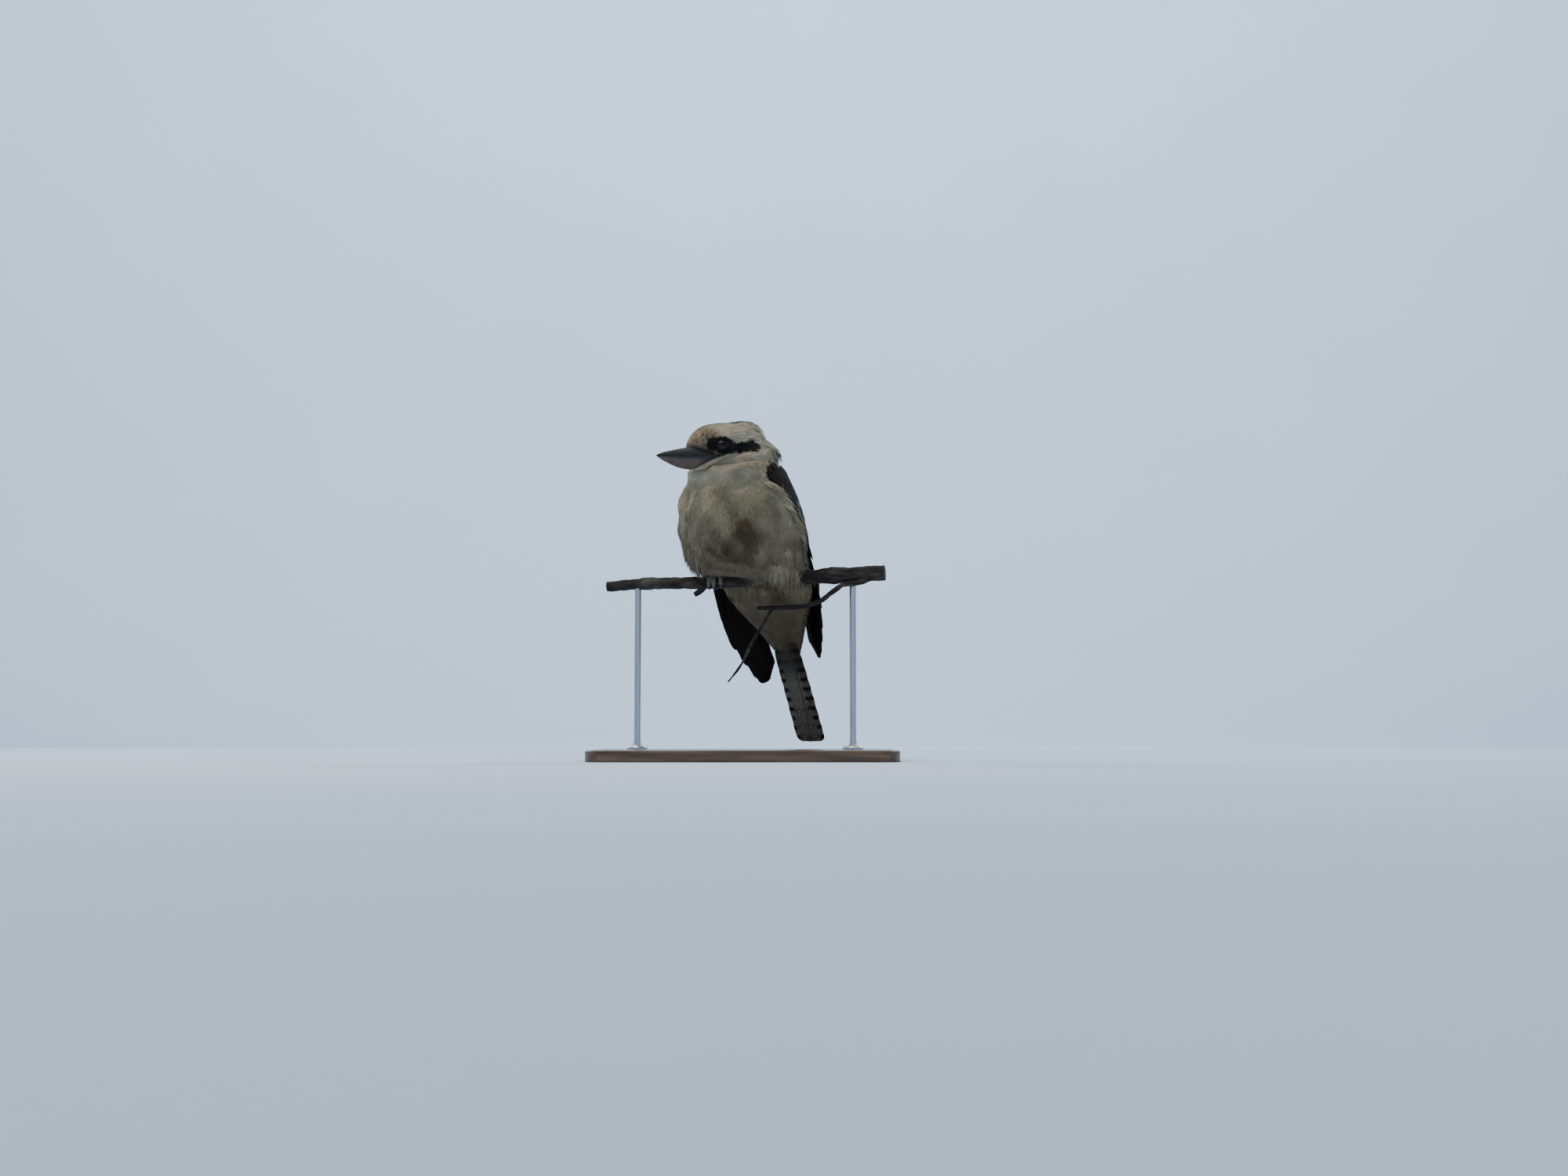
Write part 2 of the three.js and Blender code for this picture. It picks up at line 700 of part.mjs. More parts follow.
function toePath({ along, side }, { shift, spread, from, to }, off) {
  const points = [];
  const steps = 5;
  for (let k = 0; k <= steps; k += 1) {
    const share = k / steps;
    points.push(roundBranch(along + side * (shift + spread * share), from + (to - from) * share, off));
  }
  return points;
}

function foot(which) {
  const off = toe.radius + toe.clear;
  const thick = [3.2, toe.radius, toe.radius, 2.4, 2.2, 1.8];
  const pads = toes.map((one) => limb(toePath(which, one, off), thick, 6, 5));
  return join([...pads, ankle(which, 0)]);
}

// The room round the branch that a foot takes
function footRoom({ along }) {
  const half = 12;
  const path = [along - half, along, along + half].map((x) => branchMiddle(x));
  const radius = branchRadius(along) + 2 * toe.radius + toe.clear + 1;
  return limb(path, [radius, radius, radius], 12, 2);
}

// The knuckle above the toes and the scaly shank that goes up into the feathers
const shank = { angle: 92, long: 18, lower: 4.2, upper: 3.2, knuckle: 5 };
function ankle({ along }, grow) {
  const off = toe.radius + toe.clear;
  const path = [off, off + shank.long].map((rise) => roundBranch(along, shank.angle, rise));
  const knuckle = ball(roundBranch(along, shank.angle, off + 1), shank.knuckle + grow, 8, 6);
  return knuckle.add(limb(path, [shank.lower + grow, shank.upper + grow], 7, 1));
}

function claw(which, one, grow) {
  const turn = one.to > one.from ? 1 : -1;
  const off = toe.radius + toe.clear;
  const x = which.along + which.side * (one.shift + one.spread);
  const path = [0, 14, 30, 44].map((step, k) => roundBranch(x, one.to + turn * (step - 4), off - 0.2 * k));
  return limb(path, [1.7 + grow, 1.5 + grow, 1 + grow, 0.35 + grow], 6, 3);
}

// Thighs: the feathered upper legs, mostly sunk in the fluffed belly, that end in a cuff round
// each ankle
function thigh({ along, side }, grow) {
  const ankle = roundBranch(along, shank.angle, 4);
  const hip = fromBird(side > 0 ? -14 : 8, side * 34, 50);
  const path = [hip, hip.clone().lerp(ankle, 0.4), hip.clone().lerp(ankle, 0.8), ankle];
  return limb(path, [20 + grow, 19 + grow, 13 + grow, 8 + grow], 12, 4);
}

// Assembly of the solids
const trunkGrown = trunk(gap);
const skullGrown = skull(gap);
const upperBillGrown = halfBill(upperStations, 1, gap);
const lowerBillGrown = halfBill(lowerStations, -1, gap);
const branchGrown = branchLimb(gap);

function levelSlab(up, thick) {
  const middle = fromBird(0, 0, up);
  const geometry = new THREE.BoxGeometry(400, 400, thick);
  geometry.translate(middle.x, middle.y, middle.z);
  return solid(geometry);
}

const neckUp = 116; // where the neck meets the trunk
const rumpUp = -12; // where the trunk meets the rump and undertail

const parts = new Map();
const sides = [["left", 1], ["right", -1]];

// Nape tufts: the ruffled feathers at the back of the crown
const headSurface = (u, v, lift = 0) => headPoint(u, v, lift);
const napeTufts = [];
const napeRows = [
  { count: 5, root: 0.38, tip: 0.15, lift: 3.4 },
  { count: 4, root: 0.26, tip: 0.03, lift: 2.8 },
];
for (const { count, root, tip, lift } of napeRows) {
  for (let i = 0; i < count; i += 1) {
    const angle = Math.PI / 2 + (i - (count - 1) / 2) * 0.42;
    const end = Math.PI / 2 + (angle - Math.PI / 2) * 1.1;
    const shape = { wide: 11.5, thick: 0.9, sunk: 1.5, lift, tilt: 0.06 };
    napeTufts.push(vane(headSurface, [root, angle], [tip, end], shape));
  }
}

const sockets = sides.map(([, side]) => ball(eyeMiddle(side), eyeAt.radius + gap));
const headWhole = join([skull(0), ...sides.map(([, side]) => lidRing(side)), ...napeTufts]);
parts.set("head", cut(headWhole, ...sockets, upperBillGrown, lowerBillGrown, gapeWedge()));
for (const [name, side] of sides) parts.set(`eye_${name}`, ball(eyeMiddle(side), eyeAt.radius));
parts.set("bill_upper", cut(halfBill(upperStations, 1, 0), ...sockets, nostril(1), nostril(-1)));
parts.set("bill_lower", cut(halfBill(lowerStations, -1, 0), ...sockets));

const thighsGrown = join([thigh(feet.left, gap), thigh(feet.right, gap)]);
const footRooms = join(Object.values(feet).flatMap((which) => [footRoom(which), ankle(which, gap)]));
const wholeTrunk = cut(trunk(0), skullGrown, branchGrown, thighsGrown, footRooms);
const neckWhole = wholeTrunk.intersect(levelSlab(neckUp + gap / 2 + 100, 200));
parts.set("neck", cut(neckWhole, ...napeTufts, lowerBillGrown));
parts.set("torso", wholeTrunk.intersect(levelSlab((neckUp + rumpUp) / 2, neckUp - rumpUp - gap)));

// Undertail and uppertail coverts: tiers of vanes on the rump
const rumpSurface = (u, v, lift = 0) => trunkPoint(u, v, lift);
const coverts = [];
for (const { root, tip, from, to, count, wide } of [
  { root: 0.22, tip: 0.09, from: -0.72, to: 0.72, count: 4, wide: 16 },
  { root: 0.14, tip: 0.008, from: -0.4, to: 0.4, count: 3, wide: 13 },
  { root: 0.21, tip: 0.05, from: 2.6, to: 3.68, count: 3, wide: 17 },
]) {
  for (let i = 0; i < count; i += 1) {
    const angle = from + ((to - from) * i) / (count - 1);
    const shape = { wide, thick: 0.8, sunk: 1.4, lift: 2.2, tilt: 0.06 };
    coverts.push(vane(rumpSurface, [root, angle], [tip, angle], shape));
  }
}
const rumpTrunk = wholeTrunk.intersect(levelSlab(rumpUp - gap / 2 - 75, 150));
parts.set("rump", cut(join([rumpTrunk, ...coverts]), tailCore(gap, 0.5)));

for (const [name, hang] of Object.entries(wingHang)) {
  parts.set(`wing_${name}`, cut(wing(hang), trunkGrown, skullGrown, branchGrown));
}
parts.set("tail", tailFeathers());
for (const [name, which] of Object.entries(feet)) {
  const clawsGrown = join(toes.map((one) => claw(which, one, gap)));
  parts.set(`leg_${name}`, cut(thigh(which, 0), footRoom(which), ankle(which, gap)));
  parts.set(`foot_${name}`, cut(foot(which), branchGrown, clawsGrown));
  for (const one of toes) parts.set(`claw_${name}_${one.name}`, cut(claw(which, one, 0), branchGrown));
}

parts.set("perch", join([branchLimb(0), stub]));
parts.set("perch_twig", cut(join([twig, twiglet]), join([branchGrown, stub])));

// Stand: a flat base with rounded corners, and two rods with a round foot
const base = { long: 320, deep: 214, thick: 12, corner: 22, bevel: 2 };
function basePlate() {
  const x = base.long / 2 - base.bevel;
  const y = base.deep / 2 - base.bevel;
  const r = base.corner;
  const outline = new THREE.Shape();
  outline.moveTo(-x + r, -y);
  outline.lineTo(x - r, -y);
  outline.absarc(x - r, -y + r, r, -Math.PI / 2, 0);
  outline.absarc(x - r, y - r, r, 0, Math.PI / 2);
  outline.absarc(-x + r, y - r, r, Math.PI / 2, Math.PI);
  outline.absarc(-x + r, -y + r, r, Math.PI, 1.5 * Math.PI);
  const geometry = new THREE.ExtrudeGeometry(outline, {
    depth: base.thick - 2 * base.bevel,
    bevelThickness: base.bevel,
    bevelSize: base.bevel,
    bevelSegments: 1,
    curveSegments: 4,
  });
  geometry.translate(0, 0, base.bevel);
  const bare = new THREE.BufferGeometry().setAttribute("position", geometry.getAttribute("position"));
  return solid(mergeVertices(bare, 1e-4));
}
parts.set("stand_base", basePlate());

const rod = { radius: 3.5, footRadius: 11, footHigh: 3, at: 116, sides: 14 };
for (const [name, x] of [["left", -rod.at], ["right", rod.at]]) {
  const middle = branchMiddle(x);
  const bottom = base.thick + gap;
  const profile = [
    [0, bottom],
    [rod.footRadius, bottom],
    [rod.footRadius, bottom + rod.footHigh],
    [rod.radius + 2, bottom + rod.footHigh + 1.5],
    [rod.radius, bottom + rod.footHigh + 5],
    [rod.radius, middle.z],
    [0, middle.z],
  ].map(([radius, z]) => new THREE.Vector2(radius, z));
  const geometry = new THREE.LatheGeometry(profile, rod.sides);
  geometry.rotateX(Math.PI / 2);
  geometry.scale(1, -1, 1);
  geometry.translate(middle.x, middle.y, 0);
  parts.set(`stand_rod_${name}`, cut(solid(geometry), branchGrown, twig));
}

// Materials
const finish = (color, roughness, metalness = 0) =>
  new THREE.MeshStandardMaterial({ color, roughness, metalness });
const finishes = [
  [/^head/, finish(colour.crown, 0.85)],
  [/^(torso|neck|rump|leg)/, finish(colour.cream, 0.85)],
  [/^wing/, finish(colour.brown, 0.7)],
  [/^tail/, finish(colour.barred, 0.7)],
  [/^bill_upper/, finish(colour.billBlack, 0.35)],
  [/^bill_lower/, finish(colour.billHorn, 0.4)],
  [/^eye/, finish(colour.eye, 0.05)],
  [/^foot/, finish(colour.toe, 0.6)],
  [/^claw/, finish(colour.claw, 0.35)],
  [/^perch/, finish(colour.bark, 0.9)],
  [/^stand_base/, finish(colour.walnut, 0.45)],
  [/^stand_rod/, finish(colour.steel, 0.3, 1)],
];

const kookaburra = new THREE.Group();
for (const [name, made] of parts) {
  const { numProp, numVert, vertProperties, triVerts } = largest(made).getMesh();
  const geometry = new THREE.BufferGeometry();
  const position = new Float32Array(numVert * 3);
  for (let i = 0; i < numVert; i += 1) {
    position.set(vertProperties.subarray(i * numProp, i * numProp + 3), 3 * i);
  }
  geometry.setAttribute("position", new THREE.BufferAttribute(position, 3));
  geometry.setIndex(new THREE.BufferAttribute(triVerts, 1));
  geometry.computeVertexNormals();
  const mesh = new THREE.Mesh(geometry, finishes.find(([pattern]) => pattern.test(name))[1]);
  mesh.name = name;
  kookaburra.add(mesh);
}

export default kookaburra;
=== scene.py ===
import math

import bmesh
import bpy
import numpy as np
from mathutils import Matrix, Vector
from mathutils.bvhtree import BVHTree
from mathutils.kdtree import KDTree


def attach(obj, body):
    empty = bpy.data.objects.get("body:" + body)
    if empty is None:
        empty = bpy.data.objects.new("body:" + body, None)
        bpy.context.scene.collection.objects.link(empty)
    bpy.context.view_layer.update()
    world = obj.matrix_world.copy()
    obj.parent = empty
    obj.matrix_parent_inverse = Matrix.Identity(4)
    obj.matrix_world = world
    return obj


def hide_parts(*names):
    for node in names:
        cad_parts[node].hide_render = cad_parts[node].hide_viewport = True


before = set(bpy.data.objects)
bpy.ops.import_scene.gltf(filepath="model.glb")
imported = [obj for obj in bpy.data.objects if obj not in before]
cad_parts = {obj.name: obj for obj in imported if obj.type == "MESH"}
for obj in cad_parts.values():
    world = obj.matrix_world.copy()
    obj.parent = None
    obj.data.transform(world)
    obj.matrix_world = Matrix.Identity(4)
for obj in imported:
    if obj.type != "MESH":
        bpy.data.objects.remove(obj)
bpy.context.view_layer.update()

# Camera
# The bird is seen from a little below its breast, from the far side of a room, with the lens
# turned up by four degrees. The photograph's frame is 2000 by 1500 pixels.
MM = 0.001
frame_wide = 2000
focal_pixels = 2645
camera_away = 2200 * MM
camera_tilt = math.radians(4)
aim = Vector((42 * MM, 0, 183 * MM))

bpy.ops.object.camera_add(rotation=(math.radians(90) + camera_tilt, 0, 0))
camera = bpy.context.object
camera.location = aim - camera_away * Vector((0, math.cos(camera_tilt), math.sin(camera_tilt)))
camera.data.sensor_width = 36
camera.data.lens = camera.data.sensor_width * focal_pixels / frame_wide
bpy.context.scene.camera = camera


# Floor and light
# A round pale studio floor that turns up at its rim on every side, so that no horizon shows,
# with soft daylight from above and large soft lamps.
floor_radius = 4.2
wall_high = 3.4
floor_curve = 1.4
turn_steps = 8


def colour(red, green, blue):
    return (red, green, blue, 1)


class Finish:
    """A material, with plain numbers on the shader's own sockets, and short forms for its nodes."""

    def __init__(self, name, base, roughness, **sockets):
        self.material = bpy.data.materials.new(name)
        self.material.use_nodes = True
        self.tree = self.material.node_tree
        self.shader = self.tree.nodes["Principled BSDF"]
        self.shader.inputs["Base Color"].default_value = colour(*base)
        self.shader.inputs["Roughness"].default_value = roughness
        for socket, value in sockets.items():
            self.shader.inputs[socket.replace("_", " ")].default_value = value

    def add(self, kind, **values):
        node = self.tree.nodes.new(kind)
        for name, value in values.items():
            if name in node.inputs:
                node.inputs[name].default_value = value
            else:
                setattr(node, name, value)
        return node

    def join(self, source, target):
        self.tree.links.new(source, target)

    def place(self):
        """The piece's own coordinates."""
        return self.add("ShaderNodeTexCoord").outputs["Object"]

    def tint(self):
        """The colour kept for each vertex."""
        return self.add("ShaderNodeAttribute", attribute_name="tint").outputs["Color"]

    def noise(self, scale, detail=4, stretch=(1, 1, 1)):
        mapping = self.add("ShaderNodeMapping")
        mapping.inputs["Scale"].default_value = stretch
        self.join(self.place(), mapping.inputs["Vector"])
        noise = self.add("ShaderNodeTexNoise", Scale=scale, Detail=detail)
        self.join(mapping.outputs["Vector"], noise.inputs["Vector"])
        return noise.outputs["Fac"]

    def ramp(self, source, *stops):
        """A run of colours, or of greys given as one number each."""
        ramp = self.add("ShaderNodeValToRGB")
        ramp.color_ramp.elements.remove(ramp.color_ramp.elements[1])
        for i, (place, tone) in enumerate(stops):
            stop = ramp.color_ramp.elements[0] if i == 0 else ramp.color_ramp.elements.new(place)
            stop.position = place
            stop.color = colour(*np.broadcast_to(tone, 3))
        self.join(source, ramp.inputs["Fac"])
        return ramp.outputs["Color"]

    def mix(self, kind, amount, first, second):
        mix = self.add("ShaderNodeMix", data_type="RGBA", blend_type=kind)
        for value, socket in ((amount, mix.inputs[0]), (first, mix.inputs[6]), (second, mix.inputs[7])):
            if isinstance(value, bpy.types.NodeSocket):
                self.join(value, socket)
            else:
                socket.default_value = value
        return mix.outputs[2]

    def coat(self, source):
        self.join(source, self.shader.inputs["Base Color"])

    def bump(self, source, strength, distance):
        bump = self.add("ShaderNodeBump", Strength=strength, Distance=distance)
        self.join(source, bump.inputs["Height"])
        self.join(bump.outputs["Normal"], self.shader.inputs["Normal"])


def take(piece):
    """Makes a piece the only selected one, and the active one."""
    bpy.ops.object.select_all(action="DESELECT")
    piece.select_set(True)
    bpy.context.view_layer.objects.active = piece


def turn_faces(piece, inside=False):
    """Points all the faces of a piece out of it, or into it."""
    take(piece)
    bpy.ops.object.mode_set(mode="EDIT")
    bpy.ops.mesh.select_all(action="SELECT")
    bpy.ops.mesh.normals_make_consistent(inside=inside)
    bpy.ops.object.mode_set(mode="OBJECT")


bpy.ops.object.select_all(action="DESELECT")
bpy.ops.mesh.primitive_circle_add(vertices=96, radius=floor_radius - floor_curve, fill_type="NGON")
floor = bpy.context.object
bpy.ops.object.mode_set(mode="EDIT")
bpy.ops.mesh.select_all(action="SELECT")
for step in range(1, turn_steps + 1):
    before = math.pi / 2 * (step - 1) / turn_steps
    angle = math.pi / 2 * step / turn_steps
    ring = floor_radius - floor_curve * (1 - math.sin(angle))
    ring_before = floor_radius - floor_curve * (1 - math.sin(before))
    lift = floor_curve * (math.cos(before) - math.cos(angle))
    bpy.ops.mesh.extrude_region_move(TRANSFORM_OT_translate={"value": (0, 0, lift)})
    size = ring / ring_before
    bpy.ops.transform.resize(value=(size, size, 1), center_override=(0, 0, 0))
bpy.ops.mesh.extrude_region_move(TRANSFORM_OT_translate={"value": (0, 0, wall_high - floor_curve)})
bpy.ops.mesh.delete(type="ONLY_FACE")
bpy.ops.object.mode_set(mode="OBJECT")
turn_faces(floor, inside=True)
bpy.ops.object.shade_smooth()
studio = Finish("studio_paint", (0.62, 0.75, 0.89), 0.9)
studio.coat(studio.ramp(studio.noise(3, 3), (0, (0.6, 0.73, 0.87)), (1, (0.64, 0.77, 0.91))))
floor.data.materials.append(studio.material)
floor.name = "studio_floor"

world = bpy.data.worlds.new("daylight")
world.use_nodes = True
world.node_tree.nodes["Background"].inputs["Color"].default_value = colour(0.98, 0.99, 1)
world.node_tree.nodes["Background"].inputs["Strength"].default_value = 0.38
bpy.context.scene.world = world


def soft_lamp(name, place, at, size, power, tone=(1, 1, 1)):
    bpy.ops.object.light_add(type="AREA", location=place)
    lamp = bpy.context.object
    lamp.name = name
    lamp.rotation_euler = (Vector(at) - Vector(place)).to_track_quat("-Z", "Y").to_euler()
    lamp.data.size = size
    lamp.data.energy = power
    lamp.data.color = tone


soft_lamp("key", (-1, -0.7, 2.3), aim, 0.7, 32, (1, 0.94, 0.83))
soft_lamp("fill", (0.5, -2.3, 0.8), aim, 1.6, 1.5, (1, 0.97, 0.93))
soft_lamp("rim_left", (-1.5, 1.2, 1.3), aim, 0.9, 14, (0.9, 0.95, 1))
soft_lamp("rim_right", (1.4, 1.3, 1.6), aim, 0.9, 18, (0.9, 0.95, 1))
soft_lamp("wall_wash", (0, 1, 3), (0, 4.2, 3.2), 2, 150, (0.93, 0.97, 1))
soft_lamp("floor_wash", (0.3, -0.4, 3.2), (0, -0.2, 0), 2, 16, (0.97, 0.98, 1))

# Stand base
# A flat board of dark stained hardwood with rounded corners and an eased edge,
# varnished to a satin finish. It rests on its whole underside.
base_long, base_deep, base_thick = 320 * MM, 214 * MM, 12 * MM
base_corner = 22 * MM
base_ease = 2 * MM


def dress(piece, finish, name, replaced=()):
    """Names a finished piece, gives it its material and sets it on the model's body."""
    piece.name = name
    piece.data.name = name
    piece.data.materials.clear()
    piece.data.materials.append(finish.material)
    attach(piece, "root")
    if replaced:
        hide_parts(*replaced)


def select_edges(piece, wanted):
    """Selects in edit mode the edges whose two ends satisfy a test."""
    bpy.ops.mesh.select_all(action="DESELECT")
    shape = bmesh.from_edit_mesh(piece.data)
    shape.select_mode = {"EDGE"}
    for edge in shape.edges:
        if wanted(*(corner.co for corner in edge.verts)):
            edge.select_set(True)
    bmesh.update_edit_mesh(piece.data)


bpy.ops.object.select_all(action="DESELECT")
bpy.ops.mesh.primitive_cube_add(size=1, location=(0, 0, base_thick / 2),
                                scale=(base_long, base_deep, base_thick))
board = bpy.context.object
bpy.ops.object.transform_apply(location=True, rotation=True, scale=True)
bpy.ops.object.mode_set(mode="EDIT")
bpy.ops.mesh.select_mode(type="EDGE")
select_edges(board, lambda a, b: abs(a.z - b.z) > base_thick / 2)
bpy.ops.mesh.bevel(offset=base_corner, segments=14, affect="EDGES")
select_edges(board, lambda a, b: min(a.z, b.z) > base_thick * 0.99)
bpy.ops.mesh.bevel(offset=base_ease, segments=4, affect="EDGES")
select_edges(board, lambda a, b: max(a.z, b.z) < base_thick * 0.01)
bpy.ops.mesh.bevel(offset=base_ease / 2, segments=2, affect="EDGES")
bpy.ops.object.mode_set(mode="OBJECT")
bpy.ops.object.shade_smooth_by_angle(angle=math.radians(35))

walnut = Finish("stained_walnut", (0.13, 0.07, 0.04), 0.32)
grain = walnut.noise(60, 8, (0.22, 3.2, 3.2))
tone = walnut.ramp(grain, (0.3, (0.055, 0.028, 0.014)), (0.5, (0.11, 0.058, 0.03)),
                   (0.72, (0.2, 0.11, 0.058)))
walnut.coat(walnut.mix("MULTIPLY", 0.5, tone, walnut.ramp(walnut.noise(9, 3), (0.3, 0.5), (0.7, 1))))
walnut.bump(grain, 0.12, 0.0004)
dress(board, walnut, "base_board", ["stand_base"])

# Perch
# A short length sawn from a dead limb: grey-brown bark with long cracks, knots and rubbed
# patches, slightly bowed and rising to the right. The bird's toes close round it.
perch_height = 190
stand_x = 5
branch_half = 150
branch_turn = math.radians(10)
branch_rise = 0.03
branch_radius = (5.5, 8.2)


def smoothstep(value, low, high):
    share = np.clip((value - low) / (high - low), 0, 1)
    return share * share * (3 - 2 * share)


def hump(value, middle, reach):
    return np.exp(-(((value - middle) / reach) ** 2))


def branch_middle(x):
    """Places in millimetres on the middle of the branch, for distances along it from its centre."""
    x = np.asarray(x, float)
    bow = 1.5 * smoothstep(x, 50, 110)
    return np.stack([
        x * math.cos(branch_turn),
        -x * math.sin(branch_turn) + 1.2 * np.sin(x / 37),
        perch_height + 1 + branch_rise * x + bow + 0.6 * np.sin(x / 23),
    ], -1)


def branch_thick(x):
    thin, thick = branch_radius
    share = (x + branch_half) / (2 * branch_half)
    return thin + (thick - thin) * share + 1.5 * hump(x, 96, 9) + 1.1 * hump(x, -104, 8)


def along_branch(places):
    """How far along the branch places in metres are, in millimetres from its centre."""
    return places[..., 0] / MM / math.cos(branch_turn)


def tube(name, path, radii, resolution=5):
    """A closed round tube along a path in metres, drawn as a curve and made a mesh."""
    line = bpy.data.curves.new(name, "CURVE")
    line.dimensions = "3D"
    line.bevel_depth = 1
    line.bevel_resolution = resolution
    line.use_fill_caps = True
    spline = line.splines.new("POLY")
    spline.points.add(len(path) - 1)
    for point, place, radius in zip(spline.points, path, radii):
        point.co = (*place, 1)
        point.radius = radius
    piece = bpy.data.objects.new(name, line)
    bpy.context.collection.objects.link(piece)
    take(piece)
    bpy.ops.object.convert(target="MESH")
    bpy.ops.object.mode_set(mode="EDIT")
    bpy.ops.mesh.select_all(action="SELECT")
    bpy.ops.mesh.remove_doubles(threshold=1e-6)
    bpy.ops.object.mode_set(mode="OBJECT")
    turn_faces(bpy.context.object)
    bpy.ops.object.shade_smooth_by_angle(angle=math.radians(40))
    return bpy.context.object


def corners(piece, kind="co"):
    """The places of a piece's vertices, or their normals, as an array."""
    values = np.empty(len(piece.data.vertices) * 3)
    piece.data.vertices.foreach_get(kind, values)
    return values.reshape(-1, 3)


def set_corners(piece, places):
    piece.data.vertices.foreach_set("co", np.ascontiguousarray(places, float).ravel())
    piece.data.update()


def ripple(places, waves, seed):
    """A soft noise from -1 to 1: a sum of plane waves whose lengths in millimetres are given."""
    random = np.random.default_rng(seed)
    total = np.zeros(len(places))
    for wave in waves:
        for _ in range(5):
            aim_at = random.normal(size=3)
            aim_at *= 2 * math.pi / (wave * MM * np.linalg.norm(aim_at))
            total += np.sin(places @ aim_at + random.uniform(0, 2 * math.pi))
    return total / (2.2 * math.sqrt(len(waves)))


branch_x = np.linspace(-branch_half, branch_half, 151)
branch = tube("branch", branch_middle(branch_x) * MM, branch_thick(branch_x) * MM, resolution=8)
places = corners(branch)
along = along_branch(places)
out = places - branch_middle(along) * MM
turn = np.arctan2(out[:, 2], -out[:, 1])
ridge = 0.35 * np.sin(3 * turn + along / 31) + 0.2 * np.sin(5 * turn - along / 17)
crack = -0.45 * np.maximum(0, np.sin(9 * turn + along / 13 + 1.3 * np.sin(along / 19))) ** 6
knob = 0.35 * ripple(places, (9, 4), 3)
sawn_end = np.abs(along) > branch_half - 0.5
push = np.where(sawn_end, 0, (ridge + crack + knob) * MM)
set_corners(branch, places + out / np.maximum(np.linalg.norm(out, axis=1), 1e-6)[:, None] * push[:, None])

bark = Finish("weathered_bark", (0.12, 0.1, 0.085), 0.85, Specular_IOR_Level=0.2)
fibre = bark.noise(120, 8, (0.25, 1.6, 1.6))
tone = bark.ramp(fibre, (0.25, (0.008, 0.006, 0.005)), (0.5, (0.026, 0.02, 0.017)),
                 (0.75, (0.075, 0.063, 0.054)))
lichen = bark.ramp(bark.noise(45, 4, (0.6, 1, 1)), (0.58, 0), (0.68, 0.35))
bark.coat(bark.mix("MIX", lichen, tone, colour(0.13, 0.13, 0.11)))
bark.bump(fibre, 0.7, 0.0012)
dress(branch, bark, "branch", ["perch"])


def beside_branch(x, nearer, higher):
    return branch_middle(x) + np.array([0, -nearer, higher])


def even_path(points, count):
    """A smooth run through a few points, as many evenly counted ones."""
    return run(points)(np.linspace(0, 1, count))


def run(rows):
    """A smooth curve through rows of numbers, as a function of shares from 0 to 1."""
    rows = np.array(rows, float)

    def at(share):
        place = np.clip(np.asarray(share, float), 0, 1) * (len(rows) - 1)
        i = np.minimum(place.astype(int), len(rows) - 2)
        part = (place - i)[..., None]
        before, start, end, after = (rows[np.clip(i + k, 0, len(rows) - 1)] for k in (-1, 0, 1, 2))
        bend = 2 * before - 5 * start + 4 * end - after
        curve = 3 * (start - end) + after - before
        return start + part * (end - before + part * (bend + part * curve)) / 2

    return at


def limb(name, points, radii, count, resolution=4):
    path = even_path(points, count) * MM
    thick = even_path([[r] for r in radii], count)[:, 0] * MM
    return tube(name, path, thick, resolution)


twigs = {  # count of rings, roundness, then along the branch, nearer, higher and radius
    "twig": (70, 4, ((134, 3, -4, 4.2), (122, 7, -9, 2.9), (106, 9, -10.5, 2.6), (95, 10, -17, 2.7),
                     (80, 11, -27, 2.6), (62, 12, -31, 2.4), (40, 13, -32, 2.5), (14, 13, -31, 2.1))),
    "twiglet": (50, 4, ((31, 13, -31, 1.9), (22, 15, -46, 1.6), (8, 15, -68, 1.7), (-2, 14, -88, 1.3),
                        (-17, 14, -107, 1.1))),
    "stub": (12, 5, ((-43, 2, -3, 4.2), (-48, 3, -9, 3.4), (-54, 4, -13, 2.7)))}


def join_pieces(pieces):
    take(pieces[0])
    for piece in pieces:
        piece.select_set(True)
    bpy.ops.object.join()
    return bpy.context.object


pieces = []
for name, (count, sides, route) in twigs.items():
    path = [beside_branch(*at) for *at, _ in route]
    pieces.append(limb(name, path, [radius for *_, radius in route], count, sides))
wood = join_pieces(pieces)
places = corners(wood)
set_corners(wood, places + corners(wood, "normal") * (0.22 * ripple(places, (7, 3), 5) * MM)[:, None])
dress(wood, bark, "twigs", ["perch_twig"])

